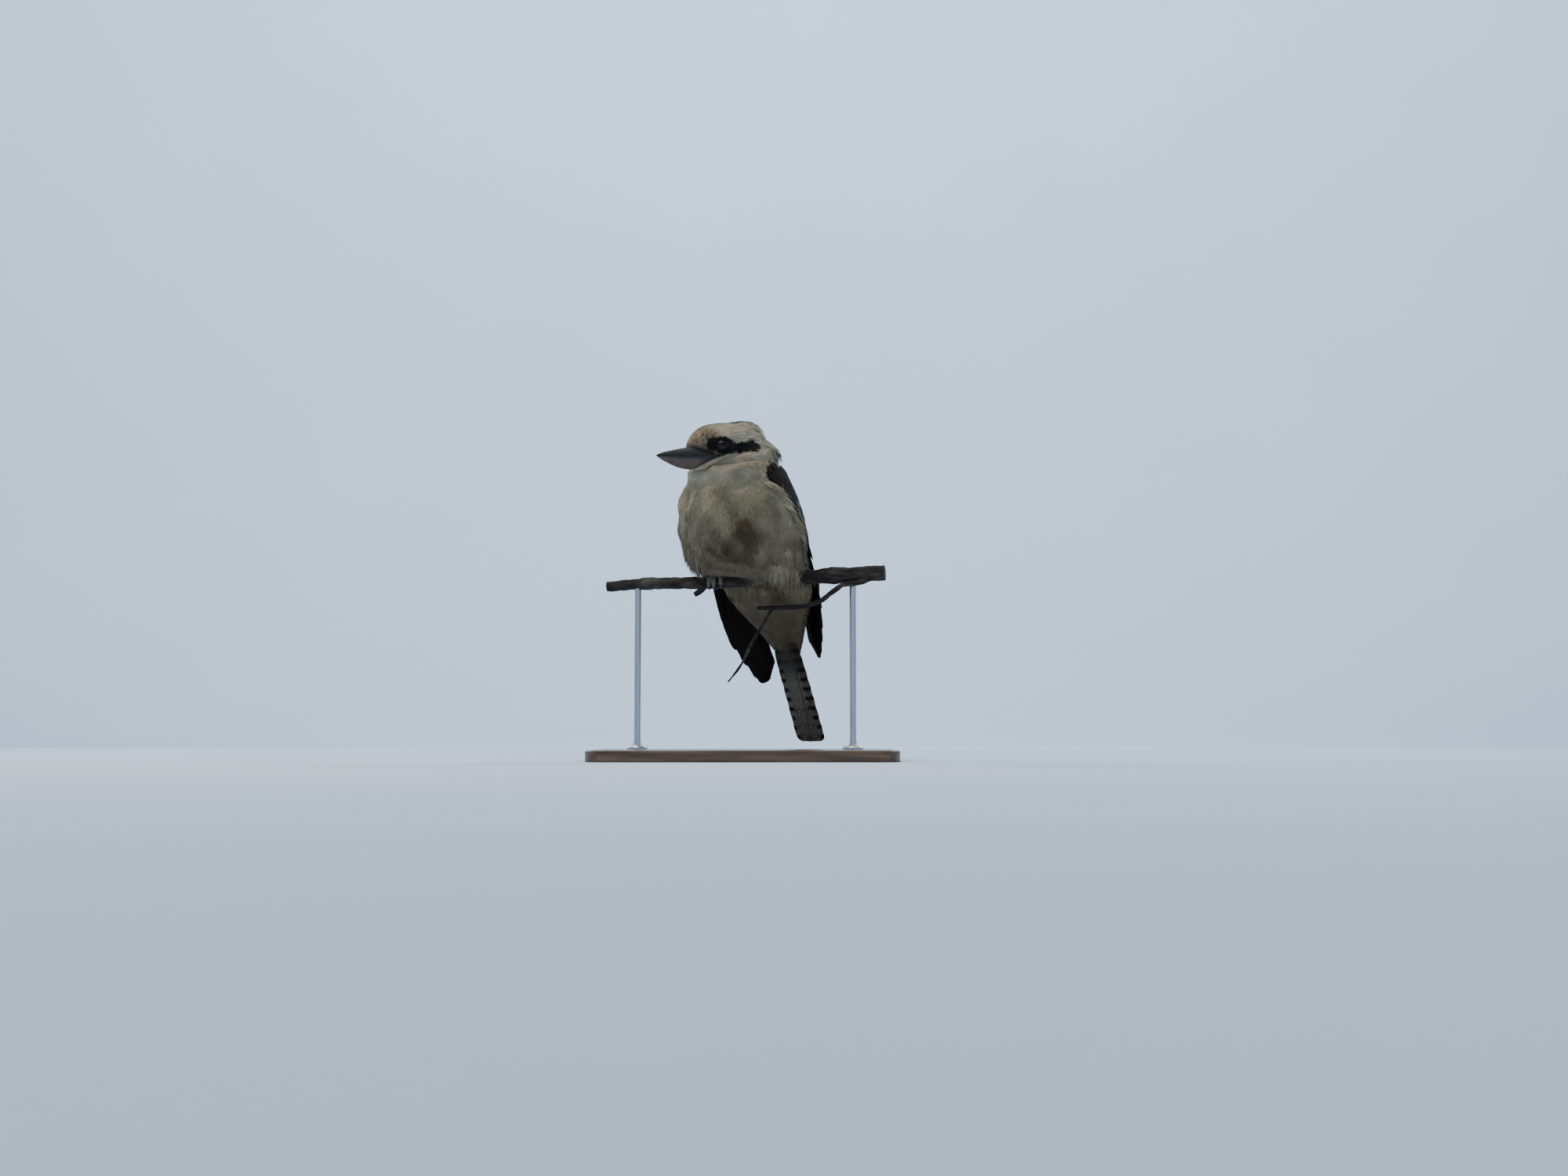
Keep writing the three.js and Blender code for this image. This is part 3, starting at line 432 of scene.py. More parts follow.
# Stand rods
# Two short rods of brushed steel, each with a turned foot on the base and its upper end
# let into the underside of the branch.
rod_at = 116
rod_let_in = 2.2
rod_profile = [(11, 12.3), (11, 14.4), (10.2, 15.4), (6.4, 16.2), (4.4, 17.6), (3.5, 20.5)]
steel = Finish("brushed_steel", (0.56, 0.56, 0.57), 0.3, Metallic=1)
brushing = steel.noise(900, 3, (1, 1, 0.04))
steel.coat(steel.ramp(brushing, (0.2, (0.42, 0.42, 0.43)), (0.8, (0.66, 0.66, 0.67))))
steel.bump(brushing, 0.05, 0.0002)
for side, x in (("left", -rod_at), ("right", rod_at)):
    middle = branch_middle(x)
    axis = Vector((middle[0] * MM, middle[1] * MM, 0))
    top = middle[2] - branch_thick(x) + rod_let_in
    foot_wide, foot_low = rod_profile[0]
    bpy.ops.object.select_all(action="DESELECT")
    bpy.ops.mesh.primitive_circle_add(vertices=40, radius=foot_wide * MM, fill_type="NGON",
                                      location=(axis.x, axis.y, foot_low * MM))
    rod = bpy.context.object
    bpy.ops.object.mode_set(mode="EDIT")
    bpy.ops.mesh.select_all(action="SELECT")
    for (wide, high), (wide_next, high_next) in zip(rod_profile, rod_profile[1:] + [(3.5, top)]):
        bpy.ops.mesh.extrude_region_move(TRANSFORM_OT_translate={"value": (0, 0, (high_next - high) * MM)})
        size = wide_next / wide
        bpy.ops.transform.resize(value=(size, size, 1), center_override=axis)
    bpy.ops.object.mode_set(mode="OBJECT")
    turn_faces(rod)
    bpy.ops.object.transform_apply(location=True, rotation=False, scale=False)
    bpy.ops.object.shade_smooth_by_angle(angle=math.radians(30))
    dress(rod, steel, f"rod_{side}", [f"stand_rod_{side}"])

# Skin
# The body under the feathers: one closed form of trunk, head and thighs, inside the coat by its depth. It
# carries the coat's markings, a quarter darker as the feathers' greyer bases and painted shade between them,
# so that nothing bare shows between feathers.
body_turn = math.radians(35)
head_turn = math.radians(48)
head_nod = math.radians(4.5)
head_at = (45, -7, 141)
coat_depth = 3.0


def from_bird(forward, left, up):
    """Places in millimetres from the bird's own forward, left and up, measured from the perch."""
    c, s = math.cos(body_turn), math.sin(body_turn)
    high = perch_height + np.asarray(up, float)
    return np.stack(np.broadcast_arrays(stand_x - forward * s + left * c, -forward * c - left * s, high), -1)


def to_bird(places):
    """The bird's forward, left and up of places in metres."""
    c, s = math.cos(body_turn), math.sin(body_turn)
    x, y, z = (places / MM - [stand_x, 0, perch_height]).T
    return np.stack([-x * s - y * c, x * c - y * s, z], -1)


head_origin = from_bird(*head_at)


def from_head(forward, left, up):
    c, s = math.cos(head_turn), math.sin(head_turn)
    level = forward * math.cos(head_nod) + np.asarray(up) * math.sin(head_nod)
    high = np.asarray(up) * math.cos(head_nod) - forward * math.sin(head_nod)
    places = np.stack(np.broadcast_arrays(-level * s + left * c, -level * c - left * s, high), -1)
    return places + head_origin


def to_head(places):
    c, s = math.cos(head_turn), math.sin(head_turn)
    x, y, z = (places / MM - head_origin).T
    level, left = -x * s - y * c, x * c - y * s
    return np.stack([level * math.cos(head_nod) - z * math.sin(head_nod), left,
                     level * math.sin(head_nod) + z * math.cos(head_nod)], -1)


trunk_slice = run([  # up, front, back, half width
    (-88, -76, -86, 6), (-72, -61, -86, 16), (-52, -43, -84, 28), (-32, -24, -80, 42),
    (-14, -8, -76, 54), (-4, -4, -73, 58), (6, 10, -71, 61), (12, 50, -69, 62), (25, 71, -65, 65.5),
    (42, 78, -61, 67.5), (62, 80, -54, 68), (84, 78, -44, 63.5), (104, 71, -34, 55), (120, 63, -24, 49),
    (134, 56, -14, 44), (147, 49, -2, 35), (157, 40, 10, 20)])
head_slice = run([  # forward, top, bottom, half width
    (-49, 6, -14, 9), (-45, 15, -24, 22), (-36, 21.5, -30, 31.5), (-20, 24.5, -33, 37.5),
    (-4, 25, -33, 36.5), (9, 24.5, -30, 31), (20, 21.5, -27, 24.5), (29, 16.5, -25.5, 18.5),
    (37, 8.5, -24.5, 13), (42, -1, -23, 7)])
trunk_power, head_power, back_pinch = 0.92, 0.9, 0.17


def squared(value, power):
    return np.sign(value) * np.abs(value) ** power


def half_width(wide, ahead):
    return wide * (1 - back_pinch * (1 - ahead) / 2)


def trunk_point(share, angle, grow):
    up, front, back, wide = np.moveaxis(trunk_slice(share), -1, 0)
    ahead = np.cos(angle)
    forward = (front + back) / 2 + ((front - back) / 2 + grow) * squared(ahead, trunk_power)
    left = (half_width(wide, ahead) + grow) * squared(np.sin(angle), trunk_power)
    return from_bird(forward, left, up)


def brow_swell(forward, up):
    return 2 * np.exp(-((np.hypot(forward - 12, 1.6 * (up - 8)) / 13) ** 2))


def head_point(share, angle, grow):
    forward, top, bottom, wide = np.moveaxis(head_slice(share), -1, 0)
    up = (top + bottom) / 2 + ((top - bottom) / 2 + grow) * squared(np.sin(angle), head_power)
    left = (wide + grow + brow_swell(forward, up)) * squared(np.cos(angle), head_power)
    return from_head(forward, left, up)


def lofted(name, places, rings, sides):
    """A form closed at both ends, through rings of places in millimetres."""
    faces = []
    for k in range(0, (rings - 1) * sides, sides):
        for j in range(sides):
            beside = (j + 1) % sides
            faces.append((k + j, k + beside, k + sides + beside, k + sides + j))
    faces += [tuple(range(sides)), tuple(range((rings - 1) * sides, rings * sides))]
    mesh = bpy.data.meshes.new(name)
    mesh.from_pydata((places.reshape(-1, 3) * MM).tolist(), [], faces)
    piece = bpy.data.objects.new(name, mesh)
    bpy.context.collection.objects.link(piece)
    return piece


def body_form(name, point, rings, sides):
    """The trunk or the skull, drawn in from the coat by its depth."""
    turns = np.arange(sides) * 2 * math.pi / sides
    share, angle = np.meshgrid(np.linspace(0, 1, rings), turns, indexing="ij")
    return lofted(name, point(share, angle, -coat_depth), rings, sides)


def round_branch(x, degrees, off):
    """A place off the branch, at an angle from the viewer's side over its top, in millimetres."""
    angle = math.radians(degrees)
    reach = branch_thick(x) + off
    nearer = reach * math.cos(angle)
    return branch_middle(x) + np.array([-nearer * math.sin(branch_turn), -nearer * math.cos(branch_turn),
                                        reach * math.sin(angle)])


feet = {"left": (1, 33), "right": (-1, -31)}  # side of the body, place along the branch
thighs = []
for side, along in feet.values():
    ankle = round_branch(along, 92, 11)
    hip = from_bird(-14 if side > 0 else 8, side * 34, 50)
    path = [hip + (ankle - hip) * share for share in (0, 0.4, 0.8, 1)]
    thighs.append(limb("thigh", path, [17, 16, 10, 5.5], 16, 8))

trunk = body_form("trunk", trunk_point, 70, 72)
skull = body_form("skull", head_point, 44, 56)
skin = join_pieces([trunk, skull, *thighs])
turn_faces(skin)


def finish_with(piece, kind, **values):
    """Adds a modifier to a piece and applies it."""
    take(piece)
    modifier = piece.modifiers.new(kind, kind)
    for name, value in values.items():
        setattr(modifier, name, value)
    bpy.ops.object.modifier_apply(modifier=modifier.name)


finish_with(skin, "REMESH", mode="VOXEL", voxel_size=1.9 * MM)
finish_with(skin, "SMOOTH", factor=0.5, iterations=14)

# The bare horn of the bill runs back between the feathers of face and chin to the gape.
mouth_up = -12
bill_tip = 85
gape_at, gape_front, gape_rise, gape_fall = 15, 46, 11, 12


def in_gape(head, grow=0):
    """How far places of the head's frame are inside the wedge of the bare bill, from 0 to 1."""
    forward, up = head[:, 0] - gape_at + grow, head[:, 2] - mouth_up
    reach = np.where(up > 0, gape_rise, gape_fall) * forward / (gape_front - gape_at)
    return np.clip((reach - np.abs(up) + grow) / 2, 0, 1) * (forward > 0)


places = corners(skin)
head = to_head(places)
inside = in_gape(head, 1)
narrow = np.clip(1 - inside * 0.32, 0, 1)
tucked = np.stack([head[:, 0] - 5 * inside, head[:, 1] * narrow, head[:, 2]], -1)
places = np.where((inside > 0)[:, None], from_head(*tucked.T) * MM, places)

# Folds of the fluffed coat: soft lumps on breast and flanks, the brow that overhangs the mask, and
# the lower edge of the cheek, which lies over the throat.
eye_forward, eye_up = 16, -3


def from_head_middle(places):
    return np.linalg.norm(places / MM - head_origin, axis=1)


def from_eye(head):
    return np.hypot(head[:, 0] - eye_forward, head[:, 2] - eye_up)


head, bird = to_head(places), to_bird(places)
forward, aside, up = head[:, 0], np.abs(head[:, 1]), head[:, 2]
far = from_head_middle(places)
eye_far = from_eye(head)
on_head = 1 - smoothstep(far, 44, 54)
on_body = smoothstep(far, 46, 66) * smoothstep(bird[:, 2], -20, 20) * smoothstep(bird[:, 0], -30, 10)
long_folds = 1.9 * ripple(places * [1, 1, 0.6], (42,), 13)
short_folds = 1.4 * ripple(places * [1, 1, 0.7], (21,), 14)
shoulder = -4 * hump(bird[:, 2], 112, 12) * hump(np.abs(bird[:, 1]), 50, 17) * hump(bird[:, 0], -5, 26)
jaw = up + 20.9 + 0.09 * forward
rolls = hump(jaw, 3.6, 3.4) * 1.4 - hump(jaw, -0.6, 2.3) * 2.6 + hump(jaw, -8.5, 6.5) * 3.6
cheek = rolls * hump(forward, 0, 27) * smoothstep(aside, 8, 17)
brow_ridge = hump(up - 7 + 0.12 * (forward - 10), 0, 4.5) * hump(forward, 6, 22) * 1.7
mask_hollow = hump(up + 5, 0, 5) * hump(forward, 6, 20) * -1.5 * smoothstep(eye_far, 7, 14)
eye_rise = 2.4 * (1 - smoothstep(eye_far, 6.5, 12))
malar_line = up + 15.5 + 0.42 * (forward - 15)
malar = (hump(malar_line, 1.5, 2.2) * 1.5 - hump(malar_line, -3.5, 2) * 1.6) * hump(forward, 14, 17)
bulge = 2.2 * hump(forward, -14, 6) * hump(up + 27, 0, 4.5)
chin = 2.8 * hump(forward, 23, 19) * smoothstep(-up, 13, 20) * (1 - smoothstep(aside, 14, 20))
nape = 3 * smoothstep(-forward, 26, 42) * hump(up, -20, 13)
crest = 3.4 * hump(forward, -33, 14) * smoothstep(up, 8, 18)
throat = 4.5 * hump(bird[:, 2], 108, 9) * smoothstep(bird[:, 0], 12, 34)
throat *= 1 - smoothstep(np.abs(bird[:, 1]), 26, 42)
push = on_body * (long_folds + short_folds) + shoulder + cheek * (1 - smoothstep(far, 54, 66))
push += (brow_ridge + mask_hollow + eye_rise + malar + bulge) * ((aside > 12) * on_head)
push = push + chin * on_head + (nape + crest) * (1 - smoothstep(far, 56, 66)) + throat * (up < -20)
set_corners(skin, places + corners(skin, "normal") * (push * MM)[:, None])
take(skin)
bpy.ops.object.shade_smooth()

cream = np.array((0.53, 0.44, 0.29))
grey_cream = np.array((0.29, 0.23, 0.145))
white = np.array((0.62, 0.54, 0.4))
mask_brown = np.array((0.009, 0.006, 0.005))
streak_brown = np.array((0.15, 0.088, 0.05))
mantle_brown = np.array((0.036, 0.025, 0.018))
rufous = np.array((0.3, 0.15, 0.075))
ochre = np.array((0.36, 0.26, 0.12))
markings_seed = 11


def mix(first, second, amount):
    first, second = np.asarray(first), np.asarray(second)
    return first + (second - first) * np.asarray(amount)[..., None]


mask_line = run([  # along the side of the head: forward, middle height, half height
    (30.5, -2, 2), (27.5, -1, 5.4), (22, -1.8, 7.4), (16, -3.2, 9), (9, -5, 7), (4, -6, 4.8), (-2, -5, 6),
    (-8, -3.8, 7.4), (-13.5, -3, 6.8), (-17.5, -3, 4), (-21, -3.2, 0.5)])
mask_stations = mask_line(np.linspace(0, 1, 120))[::-1]
cap_stations = np.array([  # along the crown: forward, half width
    (-50, 13), (-40, 14), (-24, 15.5), (7, 11.8), (19, 4.6), (24, 2.5), (31, 0.5)])

# The lower edge of the folded wing, from the shoulder to the tip: forward, left and up.
wing_lower = run([(44, 42, 112), (25, 54, 93), (-1, 62, 64), (-26, 60, 30), (-45, 56, -4), (-60, 51, -34),
                  (-72, 46, -61), (-80, 41, -83)])
edge_line = wing_lower(np.linspace(0, 0.52, 200))


def front_edge(up):
    """How far forward the folded wing and the dark shoulder above it reach, by height."""
    return np.interp(-up, -edge_line[:, 2], edge_line[:, 0]) - 0.9 * np.maximum(0, up - 112)


def under_nape(bird):
    """How far places are below the line where the pale hind neck ends over the dark shoulder."""
    return np.minimum(117 + 0.38 * (bird[:, 0] + 5), 131) - bird[:, 2]


def markings_and_shade(places, seed):
    """The coat's colour at places on the skin, in metres, with painted shade low on the body."""
    head, bird = to_head(places), to_bird(places)
    forward, left, up = head.T
    far = from_head_middle(places)
    on_head = 1 - smoothstep(far, 44, 56)
    blur = ripple(places, (5, 2.5), seed)
    slow = ripple(places, (34, 17), seed + 1)
    tone = mix(cream, grey_cream, np.clip(0.35 + 0.35 * slow + 0.1 * blur, 0, 1))
    # painted shade for light from above: the lower breast, belly and vent darker towards the bottom, and a
    # darker patch low on the middle of the breast
    low = smoothstep(-bird[:, 2], -98, -40) + 0.45 * smoothstep(-bird[:, 2], -12, 30)
    painted_breast_shade = hump(places[:, 0] / MM, -14, 34) * hump(places[:, 2] / MM, 244, 38)
    painted_shade = 0.46 * low * (1 - on_head) + 0.38 * painted_breast_shade * np.clip(0.7 + 0.3 * slow, 0, 1)
    tone = tone * (1 - painted_shade[:, None] * [0.96, 1, 1.04])
    tone = mix(tone, white, np.clip(on_head * (0.55 + 0.2 * blur), 0, 1) * 0.7)
    # brown streaks on the forehead and between bill and eye, and an ochre wash over the ears
    front = on_head * smoothstep(forward, 15, 25) * smoothstep(up, -6, 1)
    streak = np.clip(0.5 + 0.9 * np.sin(left * 2.4 + 1.5 * blur) * np.cos(forward * 1.1 + up * 0.9), 0, 1)
    tone = mix(tone, streak_brown, np.clip(front * (0.25 + 0.75 * streak), 0, 0.9))
    near_mask = on_head * hump(forward, 27, 5) * hump(up, 5, 7) * (np.abs(left) > 8)
    tone = mix(tone, streak_brown * 0.5, np.clip(near_mask * (0.35 + 0.5 * streak), 0, 1))
    lores = on_head * smoothstep(forward, 20, 27) * (1 - smoothstep(up, -5, 2)) * smoothstep(up, -17, -12)
    tone = mix(tone, streak_brown * 0.45, lores * 0.85)
    wash = on_head * smoothstep(-forward, 12, 32) * smoothstep(up, 2, 9) * (0.6 + 0.4 * slow)
    tone = mix(tone, ochre, np.clip(wash * 0.4, 0, 1))
    # dark cap along the middle of the crown, and dark streaks down the nape
    cap_half = np.interp(forward, *cap_stations.T)
    cap = on_head * smoothstep(up, 6, 11)
    cap *= 1 - smoothstep(np.abs(left) + 1.2 * blur, cap_half - 1.5, cap_half + 1.5)
    tone = mix(tone, mask_brown * 1.4, np.clip(cap * (0.9 + 0.2 * blur) * (forward < 31), 0, 0.95))
    nape = smoothstep(-forward, 36, 43) * hump(up, -4, 9) * (far < 62)
    tone = mix(tone, mask_brown * 1.5, np.clip(nape * (0.55 + 0.6 * blur), 0, 0.9))
    # mask through the eye to the ear coverts
    middle = np.interp(forward, mask_stations[:, 0], mask_stations[:, 1])
    half = np.interp(forward, mask_stations[:, 0], mask_stations[:, 2], left=0, right=0)
    beyond = np.abs(up - middle) - half
    mask = (1 - smoothstep(beyond + 0.5 * blur, -1.4, 1)) * (half > 0) * on_head * (np.abs(left) > 5)
    tone = mix(tone, mask_brown, mask)
    # dark mantle between the wings, dark shoulder, and a rump barred with rufous
    starts = 4 - 0.36 * (bird[:, 2] - 60) + 9 * smoothstep(-bird[:, 2], 20, 55)
    behind = smoothstep(-(bird[:, 0] + 0.25 * np.abs(bird[:, 1])), starts, starts + 8)
    mantle = (1 - on_head) * behind * (1 - smoothstep(bird[:, 2] + 2 * blur, 112, 120))
    shoulder = smoothstep(front_edge(bird[:, 2]) - bird[:, 0] + blur, 1, 5)
    shoulder = shoulder * smoothstep(np.abs(bird[:, 1]), 18, 26) * smoothstep(bird[:, 2], 40, 50)
    mantle = np.maximum(mantle, shoulder * (under_nape(bird) > blur) * (far > 41))
    tone = mix(tone, mantle_brown * (1 + 0.25 * blur[:, None]), mantle)
    bars = np.clip(0.5 + 0.8 * np.sin(bird[:, 2] * 0.75 + 0.6 * blur), 0, 1)
    tone = mix(tone, mix(rufous, mask_brown, bars), mantle * (1 - smoothstep(bird[:, 2], -35, -5)))
    return np.clip(tone, 0.004, 1)


def paint(piece, tones):
    """Keeps a colour for each vertex of a piece."""
    layer = piece.data.color_attributes.new("tint", "FLOAT_COLOR", "POINT")
    layer.data.foreach_set("color", np.column_stack([tones, np.ones(len(tones))]).ravel())


# the skin a quarter darker than the coat: partly the feathers' greyer bases, partly painted shade in the
# gaps between them
paint(skin, markings_and_shade(corners(skin), markings_seed) * 0.75)


down = Finish("down", (0.5, 0.5, 0.5), 0.95)
fluff = down.noise(700, 5)
down.coat(down.mix("MULTIPLY", 0.6, down.tint(), down.ramp(fluff, (0.2, 0.55), (0.8, 1))))
down.bump(fluff, 0.5, 0.0008)
dress(skin, down, "skin", ["head", "neck", "torso", "rump", "leg_left", "leg_right"])

# Body coat
# Soft contour feathers in overlapping rows, each rooted in the skin and lying back towards
# the tail. The bird is fluffed up, so those of the breast and belly part into loose clumps.
skin_places = corners(skin)
skin_normals = corners(skin, "normal")
skin.data.calc_loop_triangles()
skin_faces = np.empty(len(skin.data.loop_triangles) * 3, int)
skin.data.loop_triangles.foreach_get("vertices", skin_faces)
skin_faces = skin_faces.reshape(-1, 3)
skin_tree = BVHTree.FromPolygons(skin_places.tolist(), skin_faces.tolist())


def feather_finish(name, roughness, sheen, barb_scale, barb_depth, contrast, gloss=0.16):
    """The tint of each vertex, barbs that run out slantwise from the shaft, and fine noise."""
    finish = Finish(name, (0.5, 0.5, 0.5), roughness, Sheen_Weight=sheen, Sheen_Roughness=0.5,
                    Specular_IOR_Level=gloss)
    split = finish.add("ShaderNodeSeparateXYZ")
    finish.join(finish.add("ShaderNodeUVMap", uv_map="vane").outputs["UV"], split.inputs[0])
    away = finish.add("ShaderNodeMath", operation="ABSOLUTE")
    finish.join(split.outputs[0], away.inputs[0])
    slant = finish.add("ShaderNodeMath", operation="MULTIPLY_ADD")
    finish.join(away.outputs[0], slant.inputs[0])
    slant.inputs[1].default_value = -1.2
    finish.join(split.outputs[1], slant.inputs[2])
    comb = finish.add("ShaderNodeCombineXYZ")
    finish.join(slant.outputs[0], comb.inputs[0])
    barbs = finish.add("ShaderNodeTexWave", Scale=barb_scale, Distortion=1.5, Detail=2)
    finish.join(comb.outputs[0], barbs.inputs["Vector"])
    light = finish.ramp(barbs.outputs["Fac"], (0, 1 - contrast), (1, 1))
    mottle = finish.ramp(finish.noise(420, 3), (0.3, 0.86), (0.7, 1))
    finish.coat(finish.mix("MULTIPLY", 1, finish.tint(), finish.mix("MULTIPLY", 1, light, mottle)))
    finish.bump(barbs.outputs["Fac"], 0.35, barb_depth)
    return finish


def unit(vectors):
    return vectors / np.maximum(np.linalg.norm(vectors, axis=-1, keepdims=True), 1e-9)


def turned(vectors, frame_from):
    """Directions of the bird's or head's frame as directions of the model."""
    return frame_from(*vectors.T) - frame_from(0, 0, 0)


def lie(places, normals):
    """Unit directions in which the coat lies: back from the bill over the head, and down the body."""
    head = to_head(places)
    from_bill = head - [42, 0, 0]
    from_bill[:, 2] -= 30 * smoothstep(-head[:, 0], -10, 35)
    down_body = np.broadcast_to([-0.42, 0, -0.9], places.shape)
    weight = smoothstep(from_head_middle(places), 40, 62)[:, None]
    flow = unit(turned(from_bill, from_head)) * (1 - weight) + turned(down_body, from_bird) * weight
    return unit(flow - normals * (flow * normals).sum(1, keepdims=True))


def feather_length(places):
    """Short round the bill and eyes, longer over the head, full on the body, in millimetres."""
    head, bird = to_head(places), to_bird(places)
    on_head = 2.6 + 6.8 * smoothstep(32 - head[:, 0], 0, 72)
    on_head *= 0.62 + 0.38 * smoothstep(from_eye(head), 6, 15)
    on_body = 14 + 4 * smoothstep(-bird[:, 2], -60, 0)
    return on_head + (on_body - on_head) * smoothstep(from_head_middle(places), 42, 74)


def covered(places):
    """Where the skin bears feathers: not in the gape, on the eye or inside the branch."""
    head = to_head(places)
    along = along_branch(places)
    off_branch = np.linalg.norm(places / MM - branch_middle(along), axis=1) - branch_thick(along)
    on_eye = (from_eye(head) < 5.1) & (np.abs(head[:, 1]) > 12) & (from_head_middle(places) < 50)
    return (in_gape(head, -1) <= 0) & ~on_eye & (off_branch > 0.5)


def tract(places):
    """The part of the coat that places on the skin belong to."""
    head, bird = to_head(places), to_bird(places)
    forward, left, up = bird.T
    far = from_head_middle(places)
    behind = (forward + 0.25 * np.abs(left) < 0.36 * (up - 60)) & (up < 114)
    shoulder = (forward < front_edge(up) - 2) & (np.abs(left) > 22) & (up > 45) & (under_nape(bird) > 1)
    behind = behind | shoulder
    names = np.full(len(places), "breast", dtype="<U8")
    names[up < 48] = "belly"
    names[behind & (up > -22)] = "back"
    names[up <= -22] = "vent"
    names[(up > 104) & ~behind] = "neck"
    names[(far < 47) & ~(shoulder & (far > 41))] = "face"
    names[(far < 52) & (head[:, 2] > 3)] = "crown"
    names[~covered(places)] = "bare"
    return names


def thin_out(places, reach, order):
    """Which of the places stay when none may be nearer to another than its own reach."""
    tree = KDTree(len(places))
    for i, place in enumerate(places):
        tree.insert(place, i)
    tree.balance()
    free = np.ones(len(places), bool)
    kept = []
    for i in order:
        if free[i]:
            kept.append(i)
            for _, other, _ in tree.find_range(places[i], reach[i]):
                free[other] = False
    return np.array(kept)


def scatter(wanted, spacing, seed):
    """Places and normals spread over the skin, at a spacing in millimetres for each place."""
    random = np.random.default_rng(seed)
    a, b, c = (skin_places[skin_faces[:, k]] for k in range(3))
    middle = (a + b + c) / 3
    density = 4.2 / (spacing(middle) * MM) ** 2 * wanted(middle)
    share = np.linalg.norm(np.cross(b - a, c - a), axis=1) / 2 * density
    picked = random.choice(len(share), int(share.sum()), p=share / share.sum())
    r1, r2 = np.sqrt(random.random(len(picked))), random.random(len(picked))
    weights = np.stack([1 - r1, r1 * (1 - r2), r1 * r2], -1)[:, :, None]
    chosen = skin_faces[picked]
    places = (skin_places[chosen] * weights).sum(1)
    normals = unit((skin_normals[chosen] * weights).sum(1))
    kept = thin_out(places, spacing(places) * MM, range(len(places)))
    return places[kept], normals[kept]


def leaf_form(rows, prongs, fray):
    """One closed feather with a raised middle, across from -0.5 to 0.5 and along from 0 to 1.
    rows are (along, half width); the notches between the prongs of its tip reach a share of its depth."""
    rim_left = [(-half, y, 0) for y, half in rows]
    rim_right = [(half, y, 0) for y, half in reversed(rows)]
    last_y, last_half = rows[-1]
    tip = []
    for k in range(1, 2 * prongs):
        angle = math.pi * (1 - k / (2 * prongs))
        reach = 1 - 0.07 * math.sin(5 * k) if k % 2 else fray
        rise = 0.35 * math.sin(2.6 * k) if k % 2 and fray < 1 else 0
        ahead = last_y + (1 - last_y) * reach * math.sin(angle)
        tip.append((last_half * reach * math.cos(angle), ahead, rise))
    rim = rim_left + tip + rim_right
    count, whole = len(rows), len(rim)
    upper = whole
    lower = upper + count - 1
    points = rim + [(0, y, 0.5) for y, _ in rows[1:]] + [(0, y, 0.1) for y, _ in rows[1:]]
    top = []
    for spine, faces in ((upper, top), (lower, [])):
        faces += [(0, whole - 1, spine), (0, spine, 1), (whole - 1, whole - 2, spine)]
        for k in range(1, count - 1):
            m, n = spine + k - 1, spine + k
            faces += [(k, m, n), (k, n, k + 1), (whole - 1 - k, n, m), (whole - 1 - k, whole - 2 - k, n)]
        hub = spine + count - 2
        faces += [(k, hub, k + 1) for k in range(count - 1, whole - count)]
    under = [face[::-1] for face in faces]
    return np.array(points, float), np.array(top + under), whole


soft_feather = leaf_form([(0, 0.14), (0.24, 0.4), (0.4, 0.5)], 5, 0.5)
loose_feather = leaf_form([(0, 0.12), (0.2, 0.36), (0.36, 0.46)], 4, 0.42)
small_feather = leaf_form([(0, 0.16), (0.42, 0.5)], 3, 0.66)
round_feather = leaf_form([(0, 0.14), (0.3, 0.42), (0.68, 0.5)], 4, 1)
feather_steps = 4  # places along a feather where it follows the surface
feather_cup = 0.05
patch_size = 0.003


def clump_middles(roots, spacing, seed):
    """For each root, the middle of the clump that it belongs to."""
    order = np.random.default_rng(seed).permutation(len(roots))
    heads = roots[thin_out(roots, np.full(len(roots), spacing * MM), order)]
    near = KDTree(len(heads))
    for i, middle in enumerate(heads):
        near.insert(middle, i)
    near.balance()
    return heads[[near.find(root)[1] for root in roots]]


def clear_of_branch(where, clear=0.5):
    """Lifts places that would be inside the branch out to its surface."""
    along = along_branch(where)
    middle = branch_middle(along) * MM
    axis = np.array([math.cos(branch_turn), -math.sin(branch_turn), branch_rise])
    out = where - middle
    out = out - (out @ axis)[..., None] * axis
    far = np.linalg.norm(out, axis=-1)
    need = (branch_thick(along) + clear) * MM
    push = np.where((far < need) & (np.abs(along) < branch_half), need / np.maximum(far, 1e-6) - 1, 0)
    return where + out * push[..., None]


